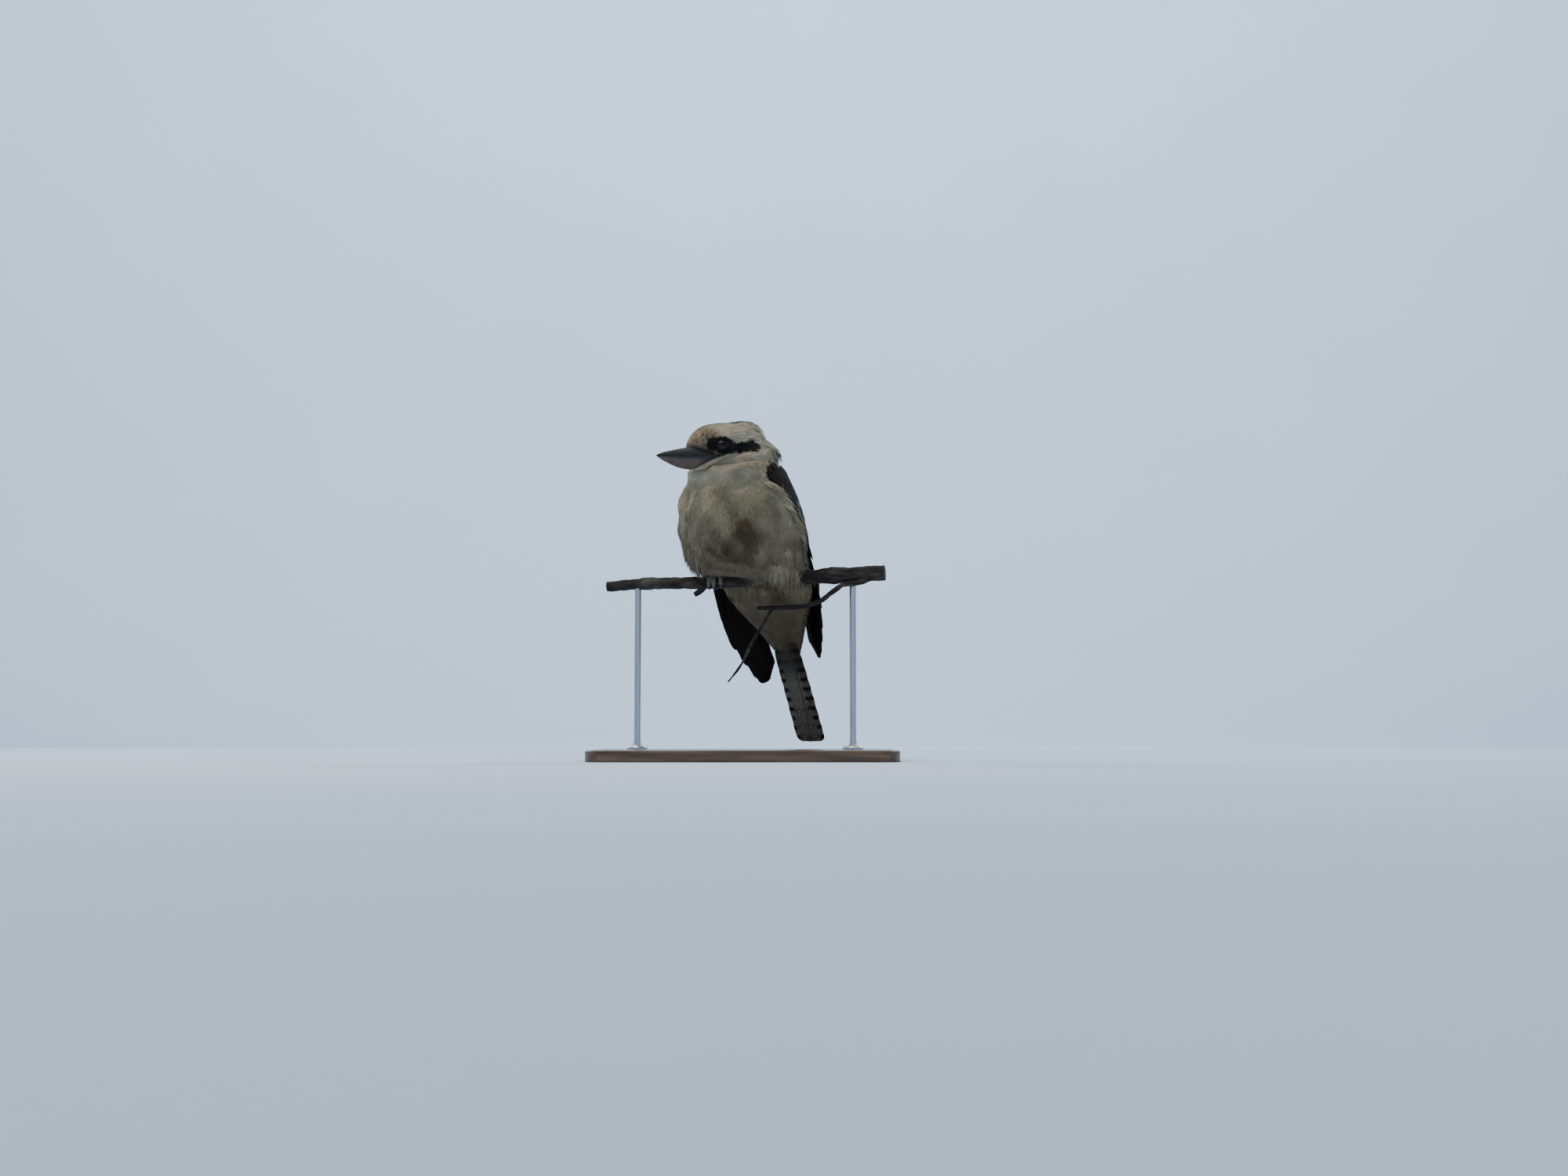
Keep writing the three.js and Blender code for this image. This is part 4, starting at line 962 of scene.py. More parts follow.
def lay_feathers(name, roots, normals, form, long, wide, lift, seed, thick=0.25, clump=0, sunk=0.7,
                 splay=0.12, root_tone_and_shade=0.78, free=False, soft=0.75, way=(0, 0, 0), paler=0):
    """Copies of one feather over the skin as a single mesh, each bent along the surface under it.
    A free feather hangs from its root instead, out over what is below it."""
    random = np.random.default_rng(seed)
    count = len(roots)
    long, wide, lift = (np.broadcast_to(size, count) * random.uniform(0.87, 1.13, count) * MM
                        for size in (long, wide, lift))
    spine, ups, place, normal = [roots], [normals], roots, normals
    sway = random.normal(0, splay, count)[:, None] + 0.2 * ripple(roots, (26, 13), seed + 5)[:, None]
    middles = clump_middles(roots, clump, seed) if clump else roots
    for _ in range(feather_steps):
        flow = unit(lie(place, normal) + way)
        if free:
            flow = unit(flow * 0.3 + [0, 0, -1])
        flow = unit(flow + sway * np.cross(normal, flow))
        if clump:
            pull = middles + flow * long[:, None] * 0.8 - place
            pull -= normal * (pull * normal).sum(1, keepdims=True)
            flow = unit(flow + 0.3 * pull / (clump * MM))
        place = place + flow * (long / feather_steps)[:, None]
        if not free:
            found = [skin_tree.find_nearest(point) for point in place.tolist()]
            place = np.array([tuple(hit[0]) for hit in found])
            normal = unit(0.5 * normal + 0.5 * np.array([tuple(hit[1]) for hit in found]))
        spine.append(place)
        ups.append(normal)
    spine, ups = np.stack(spine, 1), np.stack(ups, 1)
    across = unit(np.cross(unit(np.gradient(spine, axis=1)), ups))
    points, faces, rim = form
    k = np.minimum((points[:, 1] * feather_steps).astype(int), feather_steps - 1)
    part = (points[:, 1] * feather_steps - k)[None, :, None]
    middle, up, side = (line[:, k] * (1 - part) + line[:, k + 1] * part for line in (spine, ups, across))
    tilt = random.normal(0, 0.08, count)[:, None]
    aside = points[None, :, 0] * wide[:, None]
    height = -sunk * MM + (lift[:, None] + sunk * MM) * points[None, :, 1] ** 0.5
    height = height + points[None, :, 2] * thick * MM
    height = height - feather_cup * np.abs(points[None, :, 0]) * wide[:, None] + tilt * aside
    where = clear_of_branch(middle + side * aside[:, :, None] + up * height[:, :, None])

    # darker towards the root: partly the feather's own greyer base, partly painted shade under the feathers
    # that lie over it
    light = root_tone_and_shade + (1 - root_tone_and_shade) * points[:, 1]
    vary = random.normal(1, 0.04, count)[:, None]
    tones = markings_and_shade(roots, markings_seed) * (1 + np.broadcast_to(paler, count)[:, None])
    tint = tones[:, None, :] * (light[None, :] * vary)[:, :, None]
    patch = unrolled(roots)[:, None, :] + (points[None, :, :2] - [0, 0.5]) * patch_size
    vane = np.broadcast_to(points[None, :, :2], (count, len(points), 2))
    return build_coat(name, where, faces, tint, patch, vane, rim, up, soft)


def unrolled(places):
    """The skin unrolled round the bird's height, or the head's length, over a unit square."""
    bird = to_bird(places)
    if bird[:, 2].mean() > 122:
        head = to_head(places)
        turn, along = np.arctan2(head[:, 1], head[:, 2] + 4), head[:, 0]
    else:
        ahead = 1 if bird[:, 0].mean() > 0 else -1
        turn, along = np.arctan2(bird[:, 1], ahead * bird[:, 0] + 12), bird[:, 2]
    flat = np.stack([turn, along], -1)
    low, high = flat.min(0), flat.max(0)
    return 0.02 + 0.96 * (flat - low) / np.maximum(high - low, 1e-6)


def build_coat(name, where, faces, tint, patch, vane, rim=0, up=None, soft=0):
    """One mesh from many copies of a form, with their tints, patches of OFBake and vane map.
    Soft ones are shaded partly as the surface under them, whose directions are up."""
    count, each = where.shape[:2]
    sides = faces.shape[1]
    all_faces = (faces[None] + np.arange(count)[:, None, None] * each).reshape(-1, sides)
    mesh = bpy.data.meshes.new(name)
    mesh.vertices.add(count * each)
    mesh.vertices.foreach_set("co", where.ravel())
    mesh.loops.add(all_faces.size)
    mesh.loops.foreach_set("vertex_index", all_faces.ravel())
    mesh.polygons.add(len(all_faces))
    mesh.polygons.foreach_set("loop_start", np.arange(0, all_faces.size, sides))
    mesh.polygons.foreach_set("use_smooth", np.ones(len(all_faces), bool))
    mesh.update(calc_edges=True)
    if rim:
        ends = np.empty(len(mesh.edges) * 2, int)
        mesh.edges.foreach_get("vertices", ends)
        ends = ends.reshape(-1, 2) % each
        apart = np.abs(ends[:, 0] - ends[:, 1])
        sharp = (ends.max(1) < rim) & ((apart == 1) | (apart == rim - 1))
        mesh.attributes.new("sharp_edge", "BOOLEAN", "EDGE").data.foreach_set("value", sharp)
    for layer, values in (("OFBake", patch), ("vane", vane)):
        per_corner = values.reshape(-1, 2)[all_faces.ravel()]
        mesh.uv_layers.new(name=layer).data.foreach_set("uv", per_corner.ravel())
    if soft:
        own = np.empty(count * each * 3)
        mesh.vertices.foreach_get("normal", own)
        shaded = unit(own.reshape(-1, 3) * (1 - soft) + up.reshape(-1, 3) * soft)[all_faces]
        shaded[np.arange(len(all_faces)) % len(faces) >= len(faces) // 2] *= -1
        mesh.normals_split_custom_set(shaded.reshape(-1, 3).tolist())
    piece = bpy.data.objects.new(name, mesh)
    bpy.context.collection.objects.link(piece)
    paint(piece, tint.reshape(-1, 3))
    return piece


soft_finish = feather_finish("soft_feathers", 0.9, 0.08, 4, 0.0002, 0.12)
dark_finish = feather_finish("dark_feathers", 0.8, 0, 5, 0.0001, 0.14, 0.06)
coat = [  # tract, form, spacing and width in lengths, lift, clump, finish, softness, tone of the root, partly painted shade
    ("neck", soft_feather, 0.125, 0.36, 2.7, 8, soft_finish, 0.75, 0.8),
    ("breast", soft_feather, 0.108, 0.36, 3.1, 12, soft_finish, 0.75, 0.78),
    ("belly", loose_feather, 0.105, 0.32, 3.4, 11, soft_finish, 0.75, 0.78),
    ("back", round_feather, 0.18, 0.6, 2.6, 0, dark_finish, 0.3, 0.78),
    ("vent", loose_feather, 0.115, 0.36, 3.0, 9, soft_finish, 0.7, 0.78),
    ("face", small_feather, 0.21, 0.38, 1.9, 5, soft_finish, 0.6, 0.88),
    ("crown", small_feather, 0.21, 0.36, 2.2, 6, soft_finish, 0.6, 0.88),
]
for seed, (name, form, spacing, wide, lift, clump, finish, soft, root_tone_and_shade) in enumerate(coat, 21):
    roots, normals = scatter(lambda places: tract(places) == name,
                             lambda places: feather_length(places) * spacing, seed)
    long = feather_length(roots)
    head = to_head(roots)
    crest = smoothstep(-head[:, 0], 18, 38) * smoothstep(head[:, 2], -8, 8)
    crest = crest * (from_head_middle(roots) < 56)
    near_face = np.clip(long / 9, 0.45, 1)
    piece = lay_feathers(f"coat_{name}", roots, normals, form, long * (1 + 0.9 * crest), wide * long,
                         lift * near_face + 2.4 * crest, seed, clump=clump, thick=0.25 * near_face[0],
                         soft=soft, root_tone_and_shade=root_tone_and_shade)
    dress(piece, finish, f"coat_{name}")

# Crest and nape
# Longer pointed feathers that stand off the back of the crown and the hind neck as a ragged
# crest, and lie over the dark feathers of the shoulders.


def crested(places):
    head = to_head(places)
    near = from_head_middle(places)
    behind = (head[:, 0] < -14) & (head[:, 2] > 4 - 0.4 * (head[:, 0] + 14)) | (head[:, 0] < -30)
    return behind & (near < 60) & (head[:, 2] > -34) & covered(places)


roots, normals = scatter(crested, lambda places: np.full(len(places), 2.7), 51)
head = to_head(roots)
stand = smoothstep(-head[:, 0], 16, 44)
piece = lay_feathers("coat_crest", roots, normals, loose_feather, 9 + 5 * stand, 2.6 + 0.8 * stand,
                     3 + 4 * stand, 52, clump=7, splay=0.25, thick=0.2)
dress(piece, soft_finish, "coat_crest")

# Flank tufts
# Long loose feathers of the flanks and thighs, rooted above the branch, that hang over it and
# half hide the feet. They are a little paler than the belly.


def hangs(places):
    bird = to_bird(places)
    off = places[:, 2] / MM - perch_height
    outer = smoothstep(places[:, 0] / MM, 16, 44) + smoothstep(-places[:, 0] / MM, 34, 48)
    in_front = bird[:, 0] > -30 + 0.35 * np.abs(bird[:, 1])
    return (off > 9) & (off < 12 + 26 * outer) & in_front & covered(places) & (places[:, 1] < 0.01)


roots, normals = scatter(hangs, lambda places: np.full(len(places), 2.1), 61)
outer = smoothstep(roots[:, 0] / MM, 12, 40) + 0.45 * smoothstep(-roots[:, 0] / MM, 36, 50)
piece = lay_feathers("coat_flanks", roots, normals, loose_feather, 6 + 18 * outer, 2.2 + 1.6 * outer, 2.4,
                     62, clump=6, free=True, paler=0.25 * outer)
dress(piece, soft_finish, "coat_flanks")

# Side tufts
# Feathers of the sides of the breast, rooted just in front of each folded wing, that lie back
# over its front edge and hide the join.


def beside_wing(places):
    """A strip of the skin in front of the folded wing's edge."""
    bird = to_bird(places)
    ahead = bird[:, 0] - front_edge(bird[:, 2])
    beside = (ahead > -2) & (ahead < 12) & (np.abs(bird[:, 1]) > 33)
    return beside & (bird[:, 2] > 2) & (bird[:, 2] < 101) & covered(places)


roots, normals = scatter(beside_wing, lambda places: np.full(len(places), 2), 66)
over_wing = turned(np.array([[-0.75, 0, 0.15]]), from_bird)[0]
piece = lay_feathers("coat_sides", roots, normals, loose_feather, 22, 4, 8, 67, clump=9, sunk=1,
                     way=over_wing)
dress(piece, soft_finish, "coat_sides")

# Wings
# The folded wing has rows of small coverts at its bend, then middle and greater coverts,
# secondaries, and the long primaries that slide under them and show at the tip. Behind them is
# a thin dark core, the wing's own flesh and the feathers that can't be seen.
wing_upper = run([  # the edge along the back, from the shoulder to the tip: forward, left and up
    (14, 27, 130), (-20, 22, 113), (-43, 16, 86), (-57, 13, 52), (-68, 15, 16), (-77, 18, -18),
    (-85, 22, -48), (-90, 27, -74)])
wing_bulge = run([(bulge,) for bulge in (1, 1.5, 1.5, 2, 3, 4, 2, 0.5)])
wing_clear = 2
wings = {  # side, then how far it drops, spreads and comes forward
    "left": (1, 2, 0, 0), "right": (-1, 27, 17, 8)}
slice_table = trunk_slice(np.linspace(0, 1, 600))


def outside_trunk(place, clear):
    """Moves places of the bird's frame straight out of the trunk until they are clear of it."""
    forward, left, up = np.moveaxis(place, -1, 0)
    front, back, wide = (np.interp(up, slice_table[:, 0], slice_table[:, k]) for k in (1, 2, 3))
    middle, depth = (front + back) / 2, (front - back) / 2 + clear
    ahead = np.clip((forward - middle) / depth, -1, 1)
    reach = np.hypot((forward - middle) / depth, left / (half_width(wide, ahead) + clear))
    push = np.maximum(1, 1 / np.maximum(reach, 1e-6))
    return np.stack([middle + (forward - middle) * push, left * push, up], -1)


def as_arrays(*values):
    return np.broadcast_arrays(*(np.asarray(value, float) for value in values))


def wing_surface(side, drop, spread, forward):
    def flat(u, v):
        low = smoothstep(u, 0.25, 1)
        loose = np.sin(math.pi * np.clip((u - 0.25) / 0.75, 0, 1)) * (1 - 0.15 * v)
        place = wing_lower(u) * (1 - v)[..., None] + wing_upper(u) * v[..., None]
        place = place + np.stack([forward * loose, spread * loose, -drop * low], -1)
        place = outside_trunk(place, wing_clear)
        return from_bird(place[..., 0], side * place[..., 1], place[..., 2])

    def surface(u, v, lift):
        u, v, lift = as_arrays(u, v, lift)
        along = flat(np.minimum(u + 0.02, 1), v) - flat(np.maximum(u - 0.02, 0), v)
        across = flat(u, np.minimum(v + 0.1, 1)) - flat(u, np.maximum(v - 0.1, 0))
        out = unit(np.cross(along, across)) * side
        bulge = wing_bulge(u)[..., 0] * 4 * v * (1 - v)
        return flat(u, v) + out * (lift + bulge)[..., None]

    return surface


def grid_faces(rows, columns):
    """Quads of a closed thin sheet: its upper grid, then its lower one, joined round the edge."""
    def at(k, j, face):
        return face * rows * columns + k * columns + j
    faces = []
    for k in range(rows - 1):
        for j in range(columns - 1):
            faces.append((at(k, j, 0), at(k, j + 1, 0), at(k + 1, j + 1, 0), at(k + 1, j, 0)))
            faces.append((at(k, j, 1), at(k + 1, j, 1), at(k + 1, j + 1, 1), at(k, j + 1, 1)))
        for j, turn in ((0, 1), (columns - 1, -1)):
            edge = (at(k, j, 0), at(k + 1, j, 0), at(k + 1, j, 1), at(k, j, 1))
            faces.append(edge[::turn])
    for j in range(columns - 1):
        for k, turn in ((0, -1), (rows - 1, 1)):
            edge = (at(k, j, 0), at(k, j + 1, 0), at(k, j + 1, 1), at(k, j, 1))
            faces.append(edge[::turn])
    return np.array(faces)


def lay_vanes(name, surface, vanes, tone, seed, turn=1, thick=0.4, rows=17, columns=9):
    """Feathers as thin closed vanes with a raised shaft, on a surface of shares u and v.
    vanes are rows of root u, v, tip u, v, width, lift of root and tip, tilt and bluntness."""
    random = np.random.default_rng(seed)
    vane_s = 1 - (1 - np.linspace(0, 1, rows)) ** 1.5
    vane_c = np.linspace(-1, 1, columns)
    columns_of = np.array(vanes, float).T[:, :, None]
    u0, v0, u1, v1, wide, lift0, lift1, tilt, blunt = columns_of
    u, v = u0 + (u1 - u0) * vane_s, v0 + (v1 - v0) * vane_s
    small = 0.004
    middle = surface(u, v, lift0 + (lift1 - lift0) * np.minimum(1, vane_s * 1.6))
    along = unit(surface(u + (u1 - u0) * small, v + (v1 - v0) * small, 0) -
                 surface(u - (u1 - u0) * small, v - (v1 - v0) * small, 0))
    out = unit(surface(u, v, 1) - surface(u, v, 0))
    across = unit(np.cross(out, along))
    long = np.linalg.norm(np.diff(middle, axis=1), axis=2).sum(1)[:, None]
    round_from = np.clip(1 - 0.5 * wide * blunt / long, 0.3, 0.96)
    past = np.clip((vane_s - round_from) / (1 - round_from), 0, 1)
    outline = (0.6 + 0.4 * smoothstep(vane_s, 0, 0.4)) * np.sqrt(np.maximum(1 - past ** 2, 0.006))
    waves, start = random.uniform(25, 60, (len(vanes), 1)), random.uniform(0, 6, (len(vanes), 1))
    fray = 1 + 0.035 * np.sin(vane_s * waves + start)
    half = (wide / 2 * outline * fray)[:, :, None]
    rise = -0.1 * half * vane_c ** 2 + tilt[:, :, None] * half * vane_c
    shaft = 0.28 * np.exp(-((vane_c / 0.12) ** 2)) * (1 - 0.7 * vane_s[:, None])
    edge = thick / 2 * (1 - 0.6 * vane_c ** 2)
    sheets = [middle[:, :, None] + across[:, :, None] * (half * vane_c)[..., None] +
              out[:, :, None] * (rise + bump)[..., None] for bump in (edge + shaft, -edge)]
    where = np.stack(sheets, 1).reshape(len(vanes), -1, 3) * MM
    s, c, face = np.meshgrid(vane_s, vane_c, [0, 1], indexing="ij")
    order = np.moveaxis(np.stack([s, c, face], -1), 2, 0).reshape(-1, 3)
    s, c, face = order.T
    index = np.arange(len(vanes))[:, None]
    tint = tone(s, c, face, index, random.random((len(vanes), 4))[:, :, None])
    tint = np.broadcast_to(tint, (len(vanes), len(order), 3))
    cells = math.ceil(math.sqrt(len(vanes)))
    cell = np.stack(np.divmod(index, cells), -1)
    patch = (cell + 0.06 + 0.88 * np.stack([c * 0.22 + 0.25 + 0.5 * face, s], -1)) / cells
    vane = np.stack(np.broadcast_arrays(c * 0.5, s * long / 12), -1)
    faces = grid_faces(rows, columns)
    return build_coat(name, clear_of_branch(where), faces[:, ::turn], tint, patch, vane)


wing_brown = np.array((0.02, 0.014, 0.011))
wing_black = np.array((0.01, 0.008, 0.0075))
covert_blue = np.array((0.3, 0.46, 0.58))
blue_coverts = (22, 52)  # only those between these two, in the order they are laid, may be blue


def covert_tone(s, c, face, index, chance):
    """Dark brown, with a pale blue patch towards the tip on the outer side of many coverts."""
    base = mix(wing_brown, wing_black, 0.4 * chance[:, 0])
    blue = smoothstep(s, 0.55, 0.8) * (1 - 0.8 * smoothstep(s, 0.9, 1)) * (np.abs(c) > 0.1)
    blue = blue * smoothstep(-c * (chance[:, 2] - 0.5), -0.3, 0.2)
    blue = blue * ((index > blue_coverts[0]) & (index < blue_coverts[1])) * (chance[:, 1] - 0.45)
    return mix(base, covert_blue, np.clip(blue * 1.2, 0, 0.6))


def quill_tone(s, c, face, index, chance):
    """Blackish brown, a little paler along the edges."""
    base = mix(wing_black, wing_brown, 0.5 * chance[:, 0])
    return mix(base, wing_brown * 2.2, smoothstep(np.abs(c), 0.75, 1) * 0.5)


wing_rows = [  # root u, tip u, count, lowest and highest v, width, lift
    (0.012, 0.08, 9, 0.14, 0.9, 9, 1.2), (0.04, 0.11, 10, 0.1, 0.9, 8.5, 1.4),
    (0.07, 0.145, 10, 0.1, 0.92, 8.5, 1.5), (0.1, 0.18, 10, 0.08, 0.92, 8.5, 1.6),
    (0.135, 0.215, 10, 0.08, 0.92, 9, 1.7), (0.165, 0.26, 10, 0.08, 0.92, 9, 1.8),
    (0.2, 0.32, 10, 0.08, 0.92, 9.5, 1.9)]
rows_hidden = {"left": 2, "right": 1}  # rows of small coverts under the feathers of the shoulder
core_end, core_rows, core_columns = 0.66, 40, 13


def narrowed(v, share):
    return 0.5 + (v - 0.5) * share


def wing_core(surface, hidden):
    """The two sheets of the core, from under the first row of coverts to where the quills are free."""
    across = np.linspace(0.03, 0.97, core_columns)
    start = 0.012 + 0.034 * hidden
    core = []
    for u in np.linspace(start, core_end, core_rows):
        thin = (1 - 0.75 * u / core_end) * (1 - 0.8 * math.exp(-(u - start) / 0.02))
        drawn = narrowed(across, math.sqrt(1 - (1 - min(1, (u + 0.01) / 0.1)) ** 2))
        core.append([surface(u, drawn, 0.2 * thin), surface(u, drawn, -4.6 * thin)])
    flat = np.stack(np.meshgrid(np.linspace(0, 1, core_rows), across, indexing="ij"), -1).reshape(1, -1, 2)
    flat = np.concatenate([flat * [1, 0.48], flat * [1, 0.48] + [0, 0.5]], 1)
    return np.moveaxis(np.array(core), 1, 0).reshape(1, -1, 3) * MM, flat


for side, hang in wings.items():
    surface = wing_surface(*hang)
    coverts, quills = [], []
    for row, (root, tip, count, low, high, wide, lift) in enumerate(wing_rows[rows_hidden[side]:]):
        for i in range(count):
            v = low + (high - low) * (i + 0.5 * (row % 2)) / count
            end = tip + 0.012 * math.sin(5 * i + row)
            coverts.append((root, v, end, narrowed(v, 0.97), wide, -0.8, lift, 0.1, 1.3))
    for i in range(10):  # greater coverts
        v = 0.09 + 0.82 * i / 9
        end = 0.47 + 0.01 * math.sin(4 * i)
        coverts.append((0.25, v, end, narrowed(v, 0.96), 11.5, -1, 2.3, 0.1, 1.2))
    for i in range(11):  # secondaries
        v = 0.1 + 0.84 * i / 10
        end = 0.69 + 0.01 * math.sin(3 * i)
        quills.append((0.36, v, end, narrowed(v, 0.96), 12, -1.3, 1.9, 0.1, 1.1))
    for i in range(9):  # primaries
        share = i / 8
        tip = 0.79 + 0.2 * math.sin(min(1, share / 0.45) * math.pi / 2) - 0.13 * max(0, share - 0.45)
        level = -0.56 * i - 0.3
        quills.append((0.5, 0.12 + 0.6 * share, tip, 0.1 + 0.8 * share, 12.5, level, level, 0, 1.2))
    for kind, vanes, tone, seed in (("coverts", coverts, covert_tone, 71),
                                    ("quills", quills, quill_tone, 72)):
        piece = lay_vanes(f"wing_{kind}_{side}", surface, vanes, tone, seed, turn=hang[0])
        dress(piece, dark_finish, f"wing_{kind}_{side}")
    core, flat = wing_core(surface, rows_hidden[side])
    dark = np.broadcast_to(wing_brown * 0.7, core.shape)
    faces = grid_faces(core_rows, core_columns)[:, ::hang[0]]
    piece = build_coat(f"wing_core_{side}", core, faces, dark, flat, flat * 8)
    dress(piece, dark_finish, f"wing_core_{side}", [f"wing_{side}"])

# Tail
# Twelve broad round-ended feathers in a narrow fan. Above they are rufous with black bars and white tips;
# below they are grey-brown, with painted shade darkening them towards the base under the body, and with the
# bars along their edges.
tail_root = np.array((-49, 2, -34))
tail_tip = np.array((-107.5, 9, -170))
tail_wide, tail_layer = 19.5, 0.98
tail_steps = (0, 1, 3, 7, 19, 37)  # how far each pair ends short of the middle pair
tail_away = (0.16, 0.48, 0.44, 0.36, 0.27, 0.17)  # and how far it is from the midline, in half widths
tail_long = math.hypot(tail_tip[0] - tail_root[0], tail_tip[2] - tail_root[2])
tail_slope = math.atan2(tail_root[2] - tail_tip[2], tail_root[0] - tail_tip[0])


def tail_surface(u, v, lift):
    u, v, lift = as_arrays(u, v, lift)
    back = lift - 4 * v * v * smoothstep(u, 0.5, 0.9)
    forward, left, up = np.moveaxis(tail_root + (tail_tip - tail_root) * u[..., None], -1, 0)
    forward, up = forward - back * math.sin(tail_slope), up + back * math.cos(tail_slope)
    return from_bird(forward, left + v * tail_wide, up)


def tail_tone(s, c, face, index, chance):
    """Above rufous, black-barred and white-tipped; below grey-brown with bars along the edges and painted
    shade towards the base.
    """
    end = np.array([1 - step / tail_long for step in tail_steps])[index // 2]
    down = s * end * tail_long
    from_end = (1 - s) * end * tail_long + 3.5 * c ** 2
    bars = smoothstep(np.sin(down * 2 * math.pi / 13 + 0.5 * np.abs(c)), 0.1, 0.55)
    above = mix((0.33, 0.15, 0.07), (0.02, 0.016, 0.014), bars)
    above = mix(above, (0.72, 0.7, 0.64), smoothstep(down, 128, 133))
    chequers = smoothstep(np.sin(down * 2 * math.pi / 11.5), 0.1, 0.5)
    edge = smoothstep(c * np.where(index % 2, 1, -1), 0.58, 0.8)
    # the bars along the edges, and painted shade that darkens the underside towards its base, under the body
    dark = chequers * (0.06 + 0.94 * edge) + 0.75 * (1 - smoothstep(down, 50, 80))
    below = mix((0.19, 0.165, 0.135), (0.02, 0.017, 0.015), np.clip(dark, 0, 1))
    below = mix(below, (0.08, 0.066, 0.054), 0.5 * hump(from_end, 3.2, 1.4))
    below = mix(below, (0.34, 0.3, 0.23), 1 - smoothstep(from_end, 0.6, 2))
    return mix(above, below, face)


rectrices = []
for i, (step, away) in enumerate(zip(tail_steps, tail_away)):
    for side in (1, -1):
        level = 1 - tail_layer / 2 * (2 * i + (side < 0))
        end = 1 - step / tail_long
        rectrices.append((0.03, side * away * 0.8, end, side * away, 18, level, level, 0, 0.85))
piece = lay_vanes("tail_feathers", tail_surface, rectrices, tail_tone, 81, thick=0.5, rows=110, columns=15)
tail_finish = feather_finish("tail_feathers", 0.8, 0, 5, 0.0002, 0.15, 0.06)
dress(piece, tail_finish, "tail_feathers", ["tail"])

# Eyes
# A dark brown eye with a wide black pupil under a clear wet cornea, inside a ring of bare
# dark lid that the small feathers of the mask come up to.
eye_radius = 6.6
eye_inset = 3.9
lid_across, lid_thick = 5, 0.75
iris_brown = np.array((0.012, 0.006, 0.0035))


def head_side(forward, up):
    """How far the head's outline is from its middle, at a place along it and a height."""
    shares = np.linspace(0, 1, 400)
    table = head_slice(shares)
    top, bottom, wide = (np.interp(forward, table[:, 0], table[:, k]) for k in (1, 2, 3))
    rise = squared(np.array((up - (top + bottom) / 2) / ((top - bottom) / 2)), 1 / head_power)
    return (wide + brow_swell(forward, up)) * math.sqrt(1 - float(rise) ** 2) ** head_power


def sphere(name, middle, radius, facing, segments, rings):
    """A ball in millimetres whose poles lie on the line it faces along."""
    bpy.ops.object.select_all(action="DESELECT")
    bpy.ops.mesh.primitive_uv_sphere_add(segments=segments, ring_count=rings, radius=radius * MM)
    ball = bpy.context.object
    ball.name = name
    turn = Vector((0, 0, 1)).rotation_difference(Vector(facing)).to_matrix()
    set_corners(ball, corners(ball) @ np.array(turn).T + np.array(middle) * MM)
    bpy.ops.object.shade_smooth()
    return ball


wet = Finish("wet_eye", (0.02, 0.01, 0.006), 0.12, Specular_IOR_Level=0.1, Coat_Weight=0.3,
             Coat_Roughness=0.02)
wet.coat(wet.mix("MULTIPLY", 0.5, wet.tint(), wet.ramp(wet.noise(900, 3), (0.3, 0.5), (0.7, 1))))
lid_skin = Finish("lid_skin", (0.035, 0.028, 0.024), 0.7, Specular_IOR_Level=0.2)
wrinkles = lid_skin.noise(1200, 4)
lid_skin.coat(lid_skin.ramp(wrinkles, (0.3, (0.007, 0.006, 0.005)), (0.7, (0.02, 0.016, 0.014))))
lid_skin.bump(wrinkles, 0.5, 0.0004)
for name, side in (("left", 1), ("right", -1)):
    middle = from_head(eye_forward, side * (head_side(eye_forward, eye_up) - eye_inset), eye_up)
    outward = unit(from_head(eye_forward + 8, side * 40, eye_up + 1) - middle)
    eye = sphere(f"eye_{name}", middle, eye_radius, outward, 64, 48)
    from_axis = np.degrees(np.arccos(np.clip(unit(corners(eye) - middle * MM) @ outward, -1, 1)))
    iris = (1 - smoothstep(from_axis, 44, 50)) * smoothstep(from_axis, 20, 23)
    paint(eye, iris[:, None] * iris_brown + 0.0015)
    set_corners(eye, corners(eye) + outward * (0.35 * MM * (1 - smoothstep(from_axis, 0, 50)))[:, None])
    dress(eye, wet, f"eyeball_{name}", [f"eye_{name}"])
    bpy.ops.object.select_all(action="DESELECT")
    bpy.ops.mesh.primitive_torus_add(major_segments=96, minor_segments=16, major_radius=lid_across * MM,
                                     minor_radius=lid_thick * MM)
    rim = bpy.context.object
    rest = corners(rim) / MM
    angle = np.arctan2(rest[:, 1], rest[:, 0])
    corner = hump(np.abs(np.sin(angle)), 0, 0.22)  # the lids meet in a point in front and behind
    off_ring = np.hypot(rest[:, 0], rest[:, 1]) - lid_across
    ring = lid_across * (1 + 0.03 * np.cos(2 * angle) + 0.11 * corner)
    high = np.sqrt(eye_radius ** 2 - ring ** 2)
    ahead = unit(from_head(1, 0, 0) - head_origin)
    above = unit(np.cross(ahead, outward)) * side
    ahead = unit(np.cross(outward, above)) * side
    wrinkle = 1 + 0.12 * ripple(rest * MM, (2.2, 1.1), 7)
    reach = (ring + off_ring * wrinkle)[:, None]
    where = ahead * np.cos(angle)[:, None] * reach + above * np.sin(angle)[:, None] * reach
    where = where + outward * (high + rest[:, 2] * wrinkle)[:, None]
    set_corners(rim, (middle + where) * MM)
    turn_faces(rim)
    bpy.ops.object.shade_smooth()
    dress(rim, lid_skin, f"lid_{name}")
